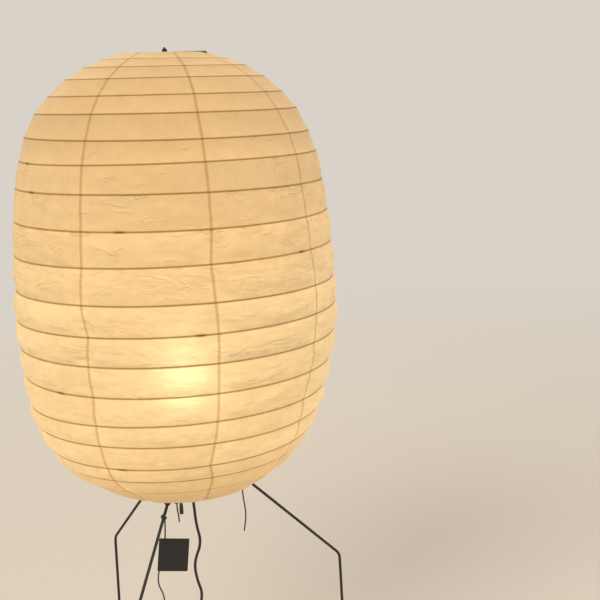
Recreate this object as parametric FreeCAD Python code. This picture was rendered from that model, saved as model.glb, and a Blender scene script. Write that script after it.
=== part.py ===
"""Paper lantern floor lamp: three bent rod legs, a wire harp and a hooped paper shade.

The frame is +Z up, with the origin on the floor under the lamp's axis. Sizes are in millimetres.
"""
import FreeCAD, Part
import math
import os

Vector = FreeCAD.Vector
UP = Vector(0, 0, 1)
GAP = 0.3                     # clearance between loose neighbours
FIT = 0.1                     # clearance of a rod or screw in its own hole
FIRST_CORNER = 9.0            # azimuth where stepped rounds begin, so that a corner lies over each leg
TURNED_SIDES = 20             # straight steps that stand for a small turned piece
BALL_BANDS = 6                # bands of a knot, from pole to pole
CORD_CORNERS = 6              # corners that stand for a round cord or string
COIL_CORNERS = 4              # corners that stand for the cord in its many turns
ROD_CORNERS = 10              # corners that stand for a round rod

# ---- legs and hub ----
LEG_AZIMUTHS = {"a": -15.0, "b": 105.0, "c": 225.0}
LEG_SLOPE = 45.0              # fall of a leg's upper run, degrees below the horizontal
LEG_ROD = 5.0                 # rod diameter
MEET_HEIGHT = 574.0           # where the lines of the three upper runs meet on the axis
KNEE_RADIUS = 262.0           # from the axis to a knee
KNEE_BEND = 22.0              # bend radius of the knee, on the rod's centre line
FOOT_RADIUS = 268.0           # from the axis to a foot
ROD_END_HEIGHT = 3.0          # rubber left under a rod's end
HUB_RADIUS = 23.0
HUB_TOP_RISE = 1.0            # hub's top face above the meeting point
HUB_HEIGHT = 26.0
HUB_CHAMFER = 3.0
SEAT_FACE = 24.75             # meeting point to the hub's slanted face, along a leg
SEAT_DEPTH = 11.0             # depth of a leg's blind seat
GRUB_REACH = 19.0             # meeting point to a grub screw, along a leg
GRUB_DIAMETER = 4.0
GRUB_LENGTH = 8.0
GRUB_SOCKET = 2.0             # hexagon socket, across flats
FOOT_CAP_DIAMETER = 10.0
FOOT_CAP_HEIGHT = 15.0

# ---- stem through the hub ----
STEM_DIAMETER = 10.0
STEM_BORE = 7.0
STEM_BELOW = 10.0             # stem's length under the hub
STEM_INTO_HOLDER = 7.0        # stem's length above the saddle
NUT_WIDTH = 14.0              # across flats
NUT_HEIGHT = 5.0
GRIP_DIAMETER = 14.0
GRIP_COLLAR = 12.0            # straight threaded part of the cord grip
GRIP_TAPER = 34.0             # its tapered strain relief
GRIP_END_DIAMETER = 7.0

# ---- harp ----
HARP_AZIMUTH = -50.0
HARP_ROD = 4.0
HARP_HALF_WIDTH = 38.0
HARP_STRAIGHT = 150.0         # upright stretch beside the bulb
HARP_SHOULDER = 18.0          # half width under the boss
HARP_BEND = 8.0
SADDLE_WIDTH = 14.0
SADDLE_THICKNESS = 2.0
SOCKET_DIAMETER = 7.0
SOCKET_HEIGHT = 15.0
BOSS_DIAMETER = 14.0
BOSS_HEIGHT = 18.0
BOSS_ROD_DROP = 11.0          # boss's top face to the rod through it
STUD_DIAMETER = 4.0
STUD_LENGTH = 9.0             # above the boss
BAR_WIDTH = 9.0
BAR_THICKNESS = 1.5
HOOK_ANGLE = 195.0            # how far the bar's ends wrap round the top ring
FINIAL_DIAMETER = 8.0
FINIAL_HEIGHT = 4.6
FINIAL_FLUTES = 12
FINIAL_FLUTE_DEPTH = 0.6

# ---- lampholder and pull switch ----
HOLDER_DIAMETER = 39.0
HOLDER_WALL = 2.0
CAP_FLOOR = 3.0
CAP_HEIGHT = 19.0
CAP_CORNER = 7.0
SHELL_HEIGHT = 36.0
SHELL_MOUTH_DIAMETER = 31.0
BLOCK_HEIGHT = 15.0
INSERT_HEIGHT = 3.0
SLEEVE_BORE = 27.0
SLEEVE_WALL = 0.6
SLEEVE_HEIGHT = 24.0
CONTACT_HEIGHT = 2.0
PULL_AZIMUTH = 205.0
PULL_TRAVEL = 8.0
PULL_RADIUS = 27.0            # from the axis to the pull wire
LEVER_WIDTH = 4.0
LEVER_THICKNESS = 2.5
LEVER_START = 7.0             # from the axis to the lever's inner end
PULL_WIRE_DIAMETER = 1.6
PULL_WIRE_LENGTH = 146.0
KNOB_DIAMETER = 7.0
KNOB_LENGTH = 22.0

# ---- bulb ----
BULB_DIAMETER = 55.0
BULB_LENGTH = 98.0
BULB_NECK_DIAMETER = 26.0
BULB_GLASS = 1.0
BULB_WAIST = 28.0             # degrees below its equator where the ball turns into the neck
BULB_STEPS = 7                # straight steps of the ball's half outline
BULB_CAP_DIAMETER = 26.2
BULB_CAP_LENGTH = 26.0
BULB_TIP = 3.0

# ---- shade ----
SIDES = 30                    # straight steps that stand for each round hoop, ring and paper band
PAPER = 0.8
HOOP_SIDE = 2.1               # side of a hoop's square section
TOP_RING_RADIUS = 72.0
TOP_RING_HEIGHT = 1221.0
TOP_RING_WIRE = 3.5
BOTTOM_RING_RADIUS = 97.0
BOTTOM_RING_WIRE = 3.0
# outer radius of the paper and height above the floor at each hoop, laid by hand at uneven steps
HOOPS = [
    (103.0, 1213.0), (132.0, 1201.0), (161.0, 1183.0), (190.0, 1158.0), (212.0, 1130.0),
    (230.0, 1093.0), (242.0, 1058.0), (251.0, 1013.0), (256.5, 961.0), (260.5, 906.0),
    (263.5, 849.0), (265.0, 802.0), (261.5, 754.0), (255.5, 707.0), (247.5, 659.0),
    (237.0, 622.0), (220.0, 583.0), (200.0, 554.0), (172.0, 526.0),
]

# ---- ties, tag and their cord ----
STRING = 2.5
LASHING_SLACK = 1.1           # room inside a lashing for the rods that cross it aslant
RING_HITCH_AZIMUTH = 235.0    # where leg c's string is hitched to the bottom ring
TAG_HITCH_RADIUS = 110.0      # where the tag's string is hitched to leg c, from the axis
TAG_WIDTH = 50.0
TAG_HEIGHT = 58.0
TAG_THICKNESS = 2.0
TAG_CORNER = 2.0
TAG_CLIP_LENGTH = 4.0
TAG_FACING = 250.0            # azimuth that the tag's front looks to
TAG_LEFT = 14.5               # string to the tag's left edge, as seen from the front
TAG_TOP_HEIGHT = 422.0
KNOT_DIAMETER = 6.0

# ---- mains cord ----
CORD = 5.0
COIL_PITCH = 5.5              # from turn to turn and layer to layer
COIL_TURNS = 6.0              # in and out again, over two layers
COIL_OUTER = 37.5             # radius of the outermost turn's centre line
COIL_CENTRE = (-17.5, 150.0)
COIL_HEIGHT = 4.0             # centre line of the lower layer
COIL_ARCS_PER_TURN = 2        # pairs of arcs
COIL_END = 22.0               # straight end that brings the plug clear of the turns
TIE_WIDTH = 8.0
TIE_THICKNESS = 0.9
PLUG_LENGTH = 30.0
PLUG_WIDTH = 24.0
PLUG_THICKNESS = 18.0
PLUG_SLEEVE = 10.0
BLADE_SPACING = 12.7
BLADE_WIDTH = 6.3
BLADE_THICKNESS = 1.5
BLADE_LENGTH = 16.0

# ---- levels worked out from the sizes above ----
SLOPE = math.radians(LEG_SLOPE)
KNEE_HEIGHT = MEET_HEIGHT - KNEE_RADIUS * math.tan(SLOPE)
HUB_TOP = MEET_HEIGHT + HUB_TOP_RISE
HUB_BOTTOM = HUB_TOP - HUB_HEIGHT
SADDLE_TOP = HUB_TOP + SADDLE_THICKNESS
HOLDER_RADIUS = HOLDER_DIAMETER / 2
CAP_TOP = SADDLE_TOP + CAP_HEIGHT
BLOCK_BOTTOM = SADDLE_TOP + CAP_FLOOR
INSERT_BOTTOM = BLOCK_BOTTOM + BLOCK_HEIGHT
INSERT_TOP = INSERT_BOTTOM + INSERT_HEIGHT
BULB_BOTTOM = INSERT_TOP + CONTACT_HEIGHT + GAP
STEM_BOTTOM = HUB_BOTTOM - STEM_BELOW
GRIP_TOP = HUB_BOTTOM - NUT_HEIGHT
GRIP_BOTTOM = GRIP_TOP - GRIP_COLLAR - GRIP_TAPER
RING_STAND_OFF = (LEG_ROD + BOTTOM_RING_WIRE) / 2 + GAP
BOTTOM_RING_HEIGHT = (MEET_HEIGHT - BOTTOM_RING_RADIUS * math.tan(SLOPE)
                      + RING_STAND_OFF / math.cos(SLOPE))
BAR_BOTTOM = TOP_RING_HEIGHT + TOP_RING_WIRE / 2 + GAP
BAR_TOP = BAR_BOTTOM + BAR_THICKNESS
BOSS_BOTTOM = BAR_BOTTOM - BOSS_HEIGHT
HARP_TOP = BAR_BOTTOM - BOSS_ROD_DROP
LEVER_TOP = INSERT_BOTTOM - 2.0
LEVER_BOTTOM = LEVER_TOP - LEVER_THICKNESS

# Route of the mains cord, from the cord grip down to the coil on the floor.
CORD_ROUTE = [
    (0.0, 0.0, GRIP_BOTTOM), (0.0, 0.0, 473.0), (2.5, -1.0, 441.0), (3.5, -4.0, 404.0),
    (11.5, -4.0, 369.0), (-2.5, 2.0, 333.0), (0.5, 1.0, 300.0), (9.0, -3.0, 271.0),
    (-1.0, 1.0, 238.0), (-3.0, 5.0, 200.0), (4.0, 9.0, 160.0), (7.0, 14.0, 118.0),
    (7.0, 22.0, 78.0), (9.0, 38.0, 44.0), (13.0, 60.0, 18.0), (17.0, 90.0, 4.6),
    (20.0, 120.0, 4.0), (20.0, 145.0, 4.0),
]
# Tail of the string on leg a, and the free end beside leg c.
TAIL_A_ROUTE = [
    (86.4, -23.1, 472.8), (86.6, -22.2, 448.0), (89.6, -24.4, 424.0), (90.4, -23.6, 402.0),
    (86.0, -22.4, 380.0),
]
TAIL_C_ROUTE = [(-55.6, -79.5, 478.2), (-55.6, -79.5, 468.0), (-53.9, -80.0, 458.5), (-53.3, -79.2, 446.5)]
# String of the tag, as steps to the right of its hitch and heights, seen from the tag's front.
TAG_STRING_ROUTE = [
    (0.0, 455.8), (0.0, 432.0), (-5.5, 396.0), (-15.0, 368.0), (-18.5, 343.0), (-8.0, 319.0),
    (-11.5, 297.0), (-11.5, 276.0),
]


def polar(radius, azimuth, height):
    """Point at a radius and an azimuth in degrees round the axis."""
    angle = math.radians(azimuth)
    return Vector(radius * math.cos(angle), radius * math.sin(angle), height)


def save(name, shape):
    """Write one piece to its own file."""
    os.makedirs("parts", exist_ok=True)
    shape.exportStep("parts/" + name + ".step")
    print(name, "solids", len(shape.Solids), "volume", round(shape.Volume, 1))


def shell_solid(faces):
    """Solid inside a closed set of flat faces."""
    solid = Part.Solid(Part.Shell(faces))
    if solid.Volume < 0:
        solid.reverse()
    return solid


def stepped_ring(profile, sides, first=FIRST_CORNER):
    """Turned solid about the axis from a closed list of (radius, height), in straight steps."""
    turn = 360.0 / sides
    faces = []
    for (radius, height), (far_radius, far_height) in zip(profile, profile[1:] + profile[:1]):
        if max(radius, far_radius) < 1e-6:
            continue
        for step in range(sides):
            start = first + step * turn
            corners = [polar(radius, start, height)]
            if radius > 1e-6:
                corners.append(polar(radius, start + turn, height))
            if far_radius > 1e-6:
                corners.append(polar(far_radius, start + turn, far_height))
            corners.append(polar(far_radius, start, far_height))
            faces.append(Part.Face(Part.makePolygon(corners + corners[:1])))
    return shell_solid(faces)


def spun(profile):
    """Small turned piece about the axis from (radius, height) corners."""
    return stepped_ring(profile, TURNED_SIDES)


def ball(radius, centre):
    """Small ball in a few turned bands."""
    rows = [math.radians(-90 + 180 * i / BALL_BANDS) for i in range(BALL_BANDS + 1)]
    profile = [(max(radius * math.cos(row), 0.0), radius * math.sin(row)) for row in rows]
    profile[0] = (0.0, -radius)
    profile[-1] = (0.0, radius)
    shape = stepped_ring(profile, 2 * BALL_BANDS)
    shape.translate(centre)
    return shape


def polygon_section(radius, height, diameter, corners):
    """(radius, height) corners of a regular section inside a circle, flat side down."""
    half = diameter / 2
    angles = [math.pi * (2 * i + 1) / corners - math.pi / 2 for i in range(corners)]
    return [(radius + half * math.cos(angle), height + half * math.sin(angle)) for angle in angles]


def bent_path(points, radii):
    """Wire of straight runs through points, joined at the inner points by tangent arcs."""
    edges = []
    start = points[0]
    for before, corner, after, radius in zip(points, points[1:], points[2:], radii):
        arrive = (corner - before).normalize()
        leave = (after - corner).normalize()
        turn = arrive.getAngle(leave)
        trim = radius * math.tan(turn / 2)
        first = corner - arrive * trim
        last = corner + leave * trim
        inward = (leave - arrive).normalize()
        middle = corner + inward * (radius / math.cos(turn / 2) - radius)
        edges.append(Part.LineSegment(start, first).toShape())
        edges.append(Part.Arc(first, middle, last).toShape())
        start = last
    edges.append(Part.LineSegment(start, points[-1]).toShape())
    return Part.Wire(edges)


def flat_section(centre, direction, diameter, corners):
    """Regular polygon wire square to a direction, inside a circle."""
    across = direction.cross(UP)
    if across.Length < 0.1:
        across = direction.cross(Vector(1, 0, 0))
    across.normalize()
    other = direction.cross(across).normalize()
    points = []
    for i in range(corners):
        angle = math.pi * (2 * i + 1) / corners
        points.append(centre + (across * math.cos(angle) + other * math.sin(angle)) * (diameter / 2))
    return Part.makePolygon(points + points[:1])


def peg(radius, length, base=Vector(0, 0, 0), direction=UP):
    """Straight pin or hole along a direction, in straight steps."""
    way = Vector(direction).normalize()
    return Part.Face(flat_section(base, way, 2 * radius, TURNED_SIDES)).extrude(way * length)


def polygon_share(corners):
    """Area of a regular polygon as a share of the circle round it."""
    return corners * math.sin(2 * math.pi / corners) / (2 * math.pi)


def swept(path, section):
    """Solid of a section carried along a path."""
    return path.makePipeShell([section], True, False)


def bent_rod(points, radii, diameter):
    """Round rod along straight runs and tangent bends."""
    path = bent_path(points, radii)
    return swept(path, flat_section(points[0], points[1] - points[0], diameter, ROD_CORNERS))


def cord_radii(name, points):
    """Largest arc that each corner of a cord's route allows."""
    radii = []
    for before, corner, after in zip(points, points[1:], points[2:]):
        shorter = min((corner - before).Length, (after - corner).Length)
        turn = (corner - before).getAngle(after - corner)
        radii.append(0.45 * shorter / math.tan(turn / 2))
    print(name, "radii", [round(radius) for radius in radii])
    return radii


def cord_tube(name, route, diameter):
    """Plain tube along a cord's route, with its length and volume printed."""
    points = [Vector(*point) for point in route]
    path = bent_path(points, cord_radii(name, points))
    tube = swept(path, flat_section(points[0], points[1] - points[0], diameter, CORD_CORNERS))
    expected = math.pi * diameter ** 2 / 4 * path.Length * polygon_share(CORD_CORNERS)
    print(name, "length", round(path.Length), "volume share", round(tube.Volume / expected, 4))
    return tube


def hexagon(width, height, base):
    """Hexagonal prism on the axis."""
    half = width / math.sqrt(3)
    corners = [polar(half, 60 * i, base) for i in range(7)]
    return Part.Face(Part.makePolygon(corners)).extrude(Vector(0, 0, height))


def leg_direction(azimuth):
    """Unit vector down and out along a leg's upper run."""
    return polar(math.cos(SLOPE), azimuth, -math.sin(SLOPE))


def leg_normal(azimuth):
    """Unit vector square to a leg's upper run, up and out."""
    return polar(math.sin(SLOPE), azimuth, math.cos(SLOPE))


def make_leg(azimuth):
    """Rod from its seat in the hub to the knee, then down into the foot."""
    start = Vector(0, 0, MEET_HEIGHT) + leg_direction(azimuth) * (SEAT_FACE - SEAT_DEPTH + FIT)
    knee = polar(KNEE_RADIUS, azimuth, KNEE_HEIGHT)
    foot = polar(FOOT_RADIUS, azimuth, 0)
    end = foot + (knee - foot).normalize() * ROD_END_HEIGHT
    return bent_rod([start, knee, end], [KNEE_BEND], LEG_ROD)


def make_foot_cap(azimuth):
    """Rubber cap with a blind hole along the rod that stands in it."""
    radius = FOOT_CAP_DIAMETER / 2
    cap = spun([(0, 0), (radius - 0.8, 0), (radius, 0.8), (radius, FOOT_CAP_HEIGHT - 3),
                (radius - 1, FOOT_CAP_HEIGHT), (0, FOOT_CAP_HEIGHT)])
    foot = polar(FOOT_RADIUS, azimuth, 0)
    cap.translate(foot)
    lean = (polar(KNEE_RADIUS, azimuth, KNEE_HEIGHT) - foot).normalize()
    hole = peg(LEG_ROD / 2 + FIT, 2 * FOOT_CAP_HEIGHT, foot + lean * (ROD_END_HEIGHT - FIT), lean)
    return cap.cut(hole)


def make_hub():
    """Turned hub with a slanted face square to the legs, their seats and grub screw holes."""
    face_radius = SEAT_FACE * math.cos(SLOPE)
    face_height = MEET_HEIGHT - SEAT_FACE * math.sin(SLOPE)
    along = (HUB_RADIUS - face_radius) / math.sin(SLOPE)
    rise = along * math.cos(SLOPE)
    inner = face_radius - (face_height - HUB_BOTTOM) * math.tan(SLOPE)
    hub = spun([(STEM_DIAMETER / 2 + FIT, HUB_BOTTOM), (inner, HUB_BOTTOM),
                (HUB_RADIUS, face_height + rise), (HUB_RADIUS, HUB_TOP - HUB_CHAMFER),
                (HUB_RADIUS - HUB_CHAMFER, HUB_TOP), (STEM_DIAMETER / 2 + FIT, HUB_TOP)])
    meet = Vector(0, 0, MEET_HEIGHT)
    for azimuth in LEG_AZIMUTHS.values():
        direction = leg_direction(azimuth)
        seat = peg(LEG_ROD / 2 + FIT, SEAT_DEPTH + 20, meet + direction * (SEAT_FACE - SEAT_DEPTH),
                                 direction)
        hole = peg(GRUB_DIAMETER / 2 + FIT, 30, meet + direction * GRUB_REACH,
                                 leg_normal(azimuth))
        hub = hub.cut(seat).cut(hole)
    return hub


def make_grub_screws():
    """Headless screws with hexagon sockets, one on each leg."""
    screws = []
    for azimuth in LEG_AZIMUTHS.values():
        normal = leg_normal(azimuth)
        foot = Vector(0, 0, MEET_HEIGHT) + leg_direction(azimuth) * GRUB_REACH + normal * (LEG_ROD / 2 + FIT)
        screw = peg(GRUB_DIAMETER / 2, GRUB_LENGTH, foot, normal)
        mouth = foot + normal * GRUB_LENGTH
        socket = Part.Face(flat_section(mouth, normal, GRUB_SOCKET, 6)).extrude(normal * -2.5)
        screws.append(screw.cut(socket))
    return Part.makeCompound(screws)


def make_cord_grip():
    """Threaded collar on the stem's lower end, drawn out to a tapered strain relief."""
    radius = GRIP_DIAMETER / 2
    collar_bottom = GRIP_TOP - GRIP_COLLAR
    return spun([(STEM_DIAMETER / 2 + FIT, GRIP_TOP), (radius, GRIP_TOP), (radius, collar_bottom + 2),
                 (radius - 2, collar_bottom), (GRIP_END_DIAMETER / 2, GRIP_BOTTOM), (0, GRIP_BOTTOM),
                 (0, STEM_BOTTOM - FIT), (STEM_DIAMETER / 2 + FIT, STEM_BOTTOM - FIT)])


def harp_turn(shape):
    """Turn a shape made in the X-Z plane to the harp's azimuth."""
    shape.rotate(Vector(0, 0, 0), UP, HARP_AZIMUTH)
    return shape


def make_harp_saddle():
    """Flat strip under the lampholder with a socket at each end for the harp."""
    strip = Part.makeBox(2 * HARP_HALF_WIDTH, SADDLE_WIDTH, SADDLE_THICKNESS,
                         Vector(-HARP_HALF_WIDTH, -SADDLE_WIDTH / 2, HUB_TOP))
    for side in (-1, 1):
        centre = Vector(side * HARP_HALF_WIDTH, 0, HUB_TOP)
        strip = strip.fuse(peg(SADDLE_WIDTH / 2, SADDLE_THICKNESS, centre))
        strip = strip.fuse(peg(SOCKET_DIAMETER / 2, SADDLE_THICKNESS + SOCKET_HEIGHT, centre))
    strip = strip.removeSplitter()
    for side in (-1, 1):
        mouth = Vector(side * HARP_HALF_WIDTH, 0, SADDLE_TOP)
        strip = strip.cut(peg(HARP_ROD / 2 + FIT, SOCKET_HEIGHT, mouth))
    strip = strip.cut(peg(STEM_DIAMETER / 2 + FIT, SADDLE_THICKNESS, Vector(0, 0, HUB_TOP)))
    return harp_turn(strip)


def make_harp_wire():
    """One rod up beside the bulb, in to the boss, across it and down again."""
    low = SADDLE_TOP + FIT
    bend = SADDLE_TOP + HARP_STRAIGHT
    right = [Vector(HARP_HALF_WIDTH, 0, low), Vector(HARP_HALF_WIDTH, 0, bend),
             Vector(HARP_SHOULDER, 0, HARP_TOP)]
    left = [Vector(-point.x, 0, point.z) for point in reversed(right)]
    gentle = HARP_STRAIGHT
    return harp_turn(bent_rod(right + left, [gentle, HARP_BEND, HARP_BEND, gentle], HARP_ROD))


def make_harp_boss():
    """Boss on the harp's top with the stud that the bar and the finial go on."""
    radius = BOSS_DIAMETER / 2
    stud = STUD_DIAMETER / 2
    top = BAR_BOTTOM + STUD_LENGTH
    boss = spun([(0, BOSS_BOTTOM), (radius - 1.5, BOSS_BOTTOM), (radius, BOSS_BOTTOM + 1.5),
                 (radius, BAR_BOTTOM), (stud, BAR_BOTTOM), (stud, top - 0.8), (stud - 0.8, top), (0, top)])
    tunnel = peg(HARP_ROD / 2 + FIT, 2 * BOSS_DIAMETER, Vector(-BOSS_DIAMETER, 0, HARP_TOP),
                               Vector(1, 0, 0))
    return harp_turn(boss.cut(tunnel))


def make_top_bar():
    """Flat bar across the top ring whose ends curl round the ring's wire."""
    reach = TOP_RING_RADIUS
    bar = Part.makeBox(2 * reach, BAR_WIDTH, BAR_THICKNESS, Vector(-reach, -BAR_WIDTH / 2, BAR_BOTTOM))
    for side in (-1, 1):
        corners = [Vector(side * reach, y * BAR_WIDTH / 2, z)
                   for y, z in ((-1, BAR_BOTTOM), (1, BAR_BOTTOM), (1, BAR_TOP), (-1, BAR_TOP))]
        end = Part.Face(Part.makePolygon(corners + corners[:1]))
        ring_centre = Vector(side * reach, 0, TOP_RING_HEIGHT)
        bar = bar.fuse(end.revolve(ring_centre, Vector(0, side, 0), HOOK_ANGLE))
    bar = bar.removeSplitter()
    bar = bar.cut(peg(STUD_DIAMETER / 2 + FIT, BAR_THICKNESS, Vector(0, 0, BAR_BOTTOM)))
    return harp_turn(bar)


def make_finial_nut():
    """Fluted nut on the stud, above the bar."""
    base = BAR_TOP + GAP
    points = []
    for i in range(2 * FINIAL_FLUTES):
        radius = FINIAL_DIAMETER / 2 - FINIAL_FLUTE_DEPTH * (i % 2)
        points.append(polar(radius, 180.0 * i / FINIAL_FLUTES, base))
    nut = Part.Face(Part.makePolygon(points + points[:1])).extrude(UP * FINIAL_HEIGHT)
    return nut.cut(peg(STUD_DIAMETER / 2 + FIT, FINIAL_HEIGHT, Vector(0, 0, base)))


def lever_slot(width, low, high, start, end):
    """Upright slot along the pull lever's azimuth."""
    slot = Part.makeBox(end - start, width, high - low, Vector(start, -width / 2, low))
    slot.rotate(Vector(0, 0, 0), UP, PULL_AZIMUTH)
    return slot


def make_holder_cap():
    """Cup on the saddle, with the lever's slot in its wall."""
    inner = HOLDER_RADIUS - HOLDER_WALL
    cap = spun([(STEM_DIAMETER / 2 + FIT, SADDLE_TOP), (HOLDER_RADIUS - CAP_CORNER, SADDLE_TOP),
                (HOLDER_RADIUS, SADDLE_TOP + CAP_CORNER), (HOLDER_RADIUS, CAP_TOP), (inner, CAP_TOP),
                (inner, SADDLE_TOP + CAP_CORNER), (HOLDER_RADIUS - CAP_CORNER, BLOCK_BOTTOM),
                (STEM_DIAMETER / 2 + FIT, BLOCK_BOTTOM)])
    slot = lever_slot(LEVER_WIDTH + 2 * GAP, LEVER_BOTTOM - PULL_TRAVEL - GAP, LEVER_TOP + GAP, 0.5 * inner,
                      HOLDER_RADIUS + 5)
    return cap.cut(slot)


def make_holder_shell():
    """Open sleeve round the bulb's cap, drawn in at its mouth."""
    inner = HOLDER_RADIUS - HOLDER_WALL
    top = CAP_TOP + SHELL_HEIGHT
    mouth = SHELL_MOUTH_DIAMETER / 2
    return spun([(inner, CAP_TOP), (HOLDER_RADIUS, CAP_TOP), (HOLDER_RADIUS, CAP_TOP + 3),
                 (HOLDER_RADIUS - 0.8, CAP_TOP + 4), (HOLDER_RADIUS - 0.8, top - 2),
                 (HOLDER_RADIUS - 2.8, top), (mouth, top), (mouth, top - HOLDER_WALL),
                 (inner, top - HOLDER_WALL - 2)])


def make_switch_block():
    """Moulded block inside the cap that guides the lever."""
    radius = HOLDER_RADIUS - HOLDER_WALL - GAP
    low = SADDLE_TOP + CAP_CORNER
    block = spun([(0, BLOCK_BOTTOM), (HOLDER_RADIUS - CAP_CORNER - 1, BLOCK_BOTTOM), (radius, low + 0.5),
                  (radius, INSERT_BOTTOM), (0, INSERT_BOTTOM)])
    block = block.cut(peg(STEM_DIAMETER / 2 + FIT, STEM_INTO_HOLDER, Vector(0, 0, SADDLE_TOP)))
    slot = lever_slot(LEVER_WIDTH + 2 * GAP, LEVER_BOTTOM - PULL_TRAVEL - GAP, LEVER_TOP + GAP,
                      LEVER_START - GAP, HOLDER_RADIUS)
    return block.cut(slot)


def make_holder_insert():
    """Disc that carries the screw sleeve and the centre contact."""
    radius = HOLDER_RADIUS - HOLDER_WALL - GAP
    return spun([(0, INSERT_BOTTOM), (radius, INSERT_BOTTOM), (radius, INSERT_TOP), (0, INSERT_TOP)])


def make_screw_sleeve():
    """Thin metal sleeve that takes the bulb's cap."""
    bore = SLEEVE_BORE / 2
    return spun([(bore, INSERT_TOP), (bore + SLEEVE_WALL, INSERT_TOP),
                 (bore + SLEEVE_WALL, INSERT_TOP + SLEEVE_HEIGHT), (bore, INSERT_TOP + SLEEVE_HEIGHT)])


def make_centre_contact():
    """Springy tongue under the bulb's tip."""
    low = Part.makeBox(12, 5, 0.6, Vector(-8, -2.5, INSERT_TOP))
    riser = Part.makeBox(0.6, 5, CONTACT_HEIGHT, Vector(-8, -2.5, INSERT_TOP))
    tongue = Part.makeBox(11, 5, 0.6, Vector(-8, -2.5, INSERT_TOP + CONTACT_HEIGHT - 0.6))
    return low.fuse(riser).fuse(tongue).removeSplitter()


def make_switch_lever():
    """Flat arm from the switch out to the pull wire, with an eye at its end."""
    arm = Part.makeBox(PULL_RADIUS - LEVER_START, LEVER_WIDTH, LEVER_THICKNESS,
                       Vector(LEVER_START, -LEVER_WIDTH / 2, LEVER_BOTTOM))
    eye = peg(LEVER_WIDTH / 2, LEVER_THICKNESS, Vector(PULL_RADIUS, 0, LEVER_BOTTOM))
    hole = peg(PULL_WIRE_DIAMETER / 2 + 0.05, LEVER_THICKNESS, Vector(PULL_RADIUS, 0, LEVER_BOTTOM))
    lever = arm.fuse(eye).removeSplitter().cut(hole)
    lever.rotate(Vector(0, 0, 0), UP, PULL_AZIMUTH)
    return lever


def make_pull_wire():
    """Thin wire with a small head above the lever, down to the knob."""
    radius = PULL_WIRE_DIAMETER / 2
    head = LEVER_TOP + 1.5
    low = LEVER_TOP - PULL_WIRE_LENGTH
    wire = spun([(0, low), (radius, low), (radius, LEVER_TOP), (1.8 * radius, LEVER_TOP),
                 (1.8 * radius, head - 0.5), (radius, head), (0, head)])
    wire.translate(polar(PULL_RADIUS, PULL_AZIMUTH, 0))
    return wire


def make_pull_knob():
    """Small turned knob with a blind hole for the wire's end."""
    radius = KNOB_DIAMETER / 2
    low = LEVER_TOP - PULL_WIRE_LENGTH
    top = low + 8.0
    base = top - KNOB_LENGTH
    hole = PULL_WIRE_DIAMETER / 2 + 0.05
    knob = spun([(0, base), (radius - 0.8, base), (radius, base + 0.8), (radius, base + 0.6 * KNOB_LENGTH),
                 (0.55 * radius, top), (hole, top), (hole, low), (0, low)])
    knob.translate(polar(PULL_RADIUS, PULL_AZIMUTH, 0))
    return knob


def make_bulb_glass():
    """Pear-shaped envelope, open at the neck inside the metal cap."""
    ball_radius = BULB_DIAMETER / 2
    centre = BULB_BOTTOM + BULB_LENGTH - ball_radius
    neck = BULB_NECK_DIAMETER / 2 - GAP
    cap_top = BULB_BOTTOM + BULB_CAP_LENGTH

    def outline(offset):
        """Half outline from the crown to the neck's foot, moved inwards by an offset."""
        radius = ball_radius - offset
        crown = [math.radians(90 - (90 + BULB_WAIST) * i / BULB_STEPS) for i in range(BULB_STEPS + 1)]
        points = [(radius * math.cos(angle), centre + radius * math.sin(angle)) for angle in crown]
        points[0] = (0.0, centre + radius)
        return points + [(neck - offset, cap_top + 6), (neck - offset, cap_top - 10)]

    return spun(outline(0.0) + outline(BULB_GLASS)[::-1])


def make_bulb_cap():
    """Metal screw cap, a cup round the neck's foot, with its insulated tip."""
    radius = BULB_CAP_DIAMETER / 2
    inner = BULB_NECK_DIAMETER / 2 - GAP + 0.05
    top = BULB_BOTTOM + BULB_CAP_LENGTH
    floor = top - 10.5
    base = BULB_BOTTOM + BULB_TIP
    return spun([(0, BULB_BOTTOM + 0.8), (3, BULB_BOTTOM + 0.8), (9, base), (radius, base + 3), (radius, top),
                 (inner, top), (inner, floor), (0, floor)])


def make_bulb_contact():
    """Solder button at the bulb's tip."""
    return spun([(0, BULB_BOTTOM), (2.2, BULB_BOTTOM), (2.8, BULB_BOTTOM + 0.4), (2.8, BULB_BOTTOM + 0.8),
                 (0, BULB_BOTTOM + 0.8)])


def shade_profile():
    """Outer line of the paper from the top ring to the bottom ring, as (radius, height)."""
    top = (TOP_RING_RADIUS + TOP_RING_WIRE / 2 + GAP + PAPER, TOP_RING_HEIGHT + TOP_RING_WIRE / 2)
    bottom = (BOTTOM_RING_RADIUS + BOTTOM_RING_WIRE / 2 + GAP + PAPER, BOTTOM_RING_HEIGHT - 1.0)
    return [top] + HOOPS + [bottom]


def inward(profile, distance):
    """Profile moved square to itself towards the axis, with its corners mitred."""
    moved = []
    last = len(profile) - 1
    for i, (radius, height) in enumerate(profile):
        before = profile[max(i - 1, 0)]
        after = profile[min(i + 1, last)]
        if i in (0, last):
            normals = [square_to(before, after)]
        else:
            normals = [square_to(before, (radius, height)), square_to((radius, height), after)]
        sum_r = sum(normal[0] for normal in normals)
        sum_z = sum(normal[1] for normal in normals)
        length = math.hypot(sum_r, sum_z)
        miter = 2 / length if len(normals) == 2 else 1.0
        moved.append((radius + sum_r / length * distance * miter, height + sum_z / length * distance * miter))
    return moved


def square_to(start, end):
    """Unit (radius, height) step square to a line, towards the inside of the shade."""
    step_r = end[0] - start[0]
    step_z = end[1] - start[1]
    length = math.hypot(step_r, step_z)
    return (step_z / length, -step_r / length)


def notch(azimuth, radius, height, width, size):
    """Block that clears the paper's edge for a hook or a string."""
    block = Part.makeBox(size, width, size, Vector(radius - size / 2, -width / 2, height - size / 2))
    block.rotate(Vector(0, 0, 0), UP, azimuth)
    return block


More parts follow.
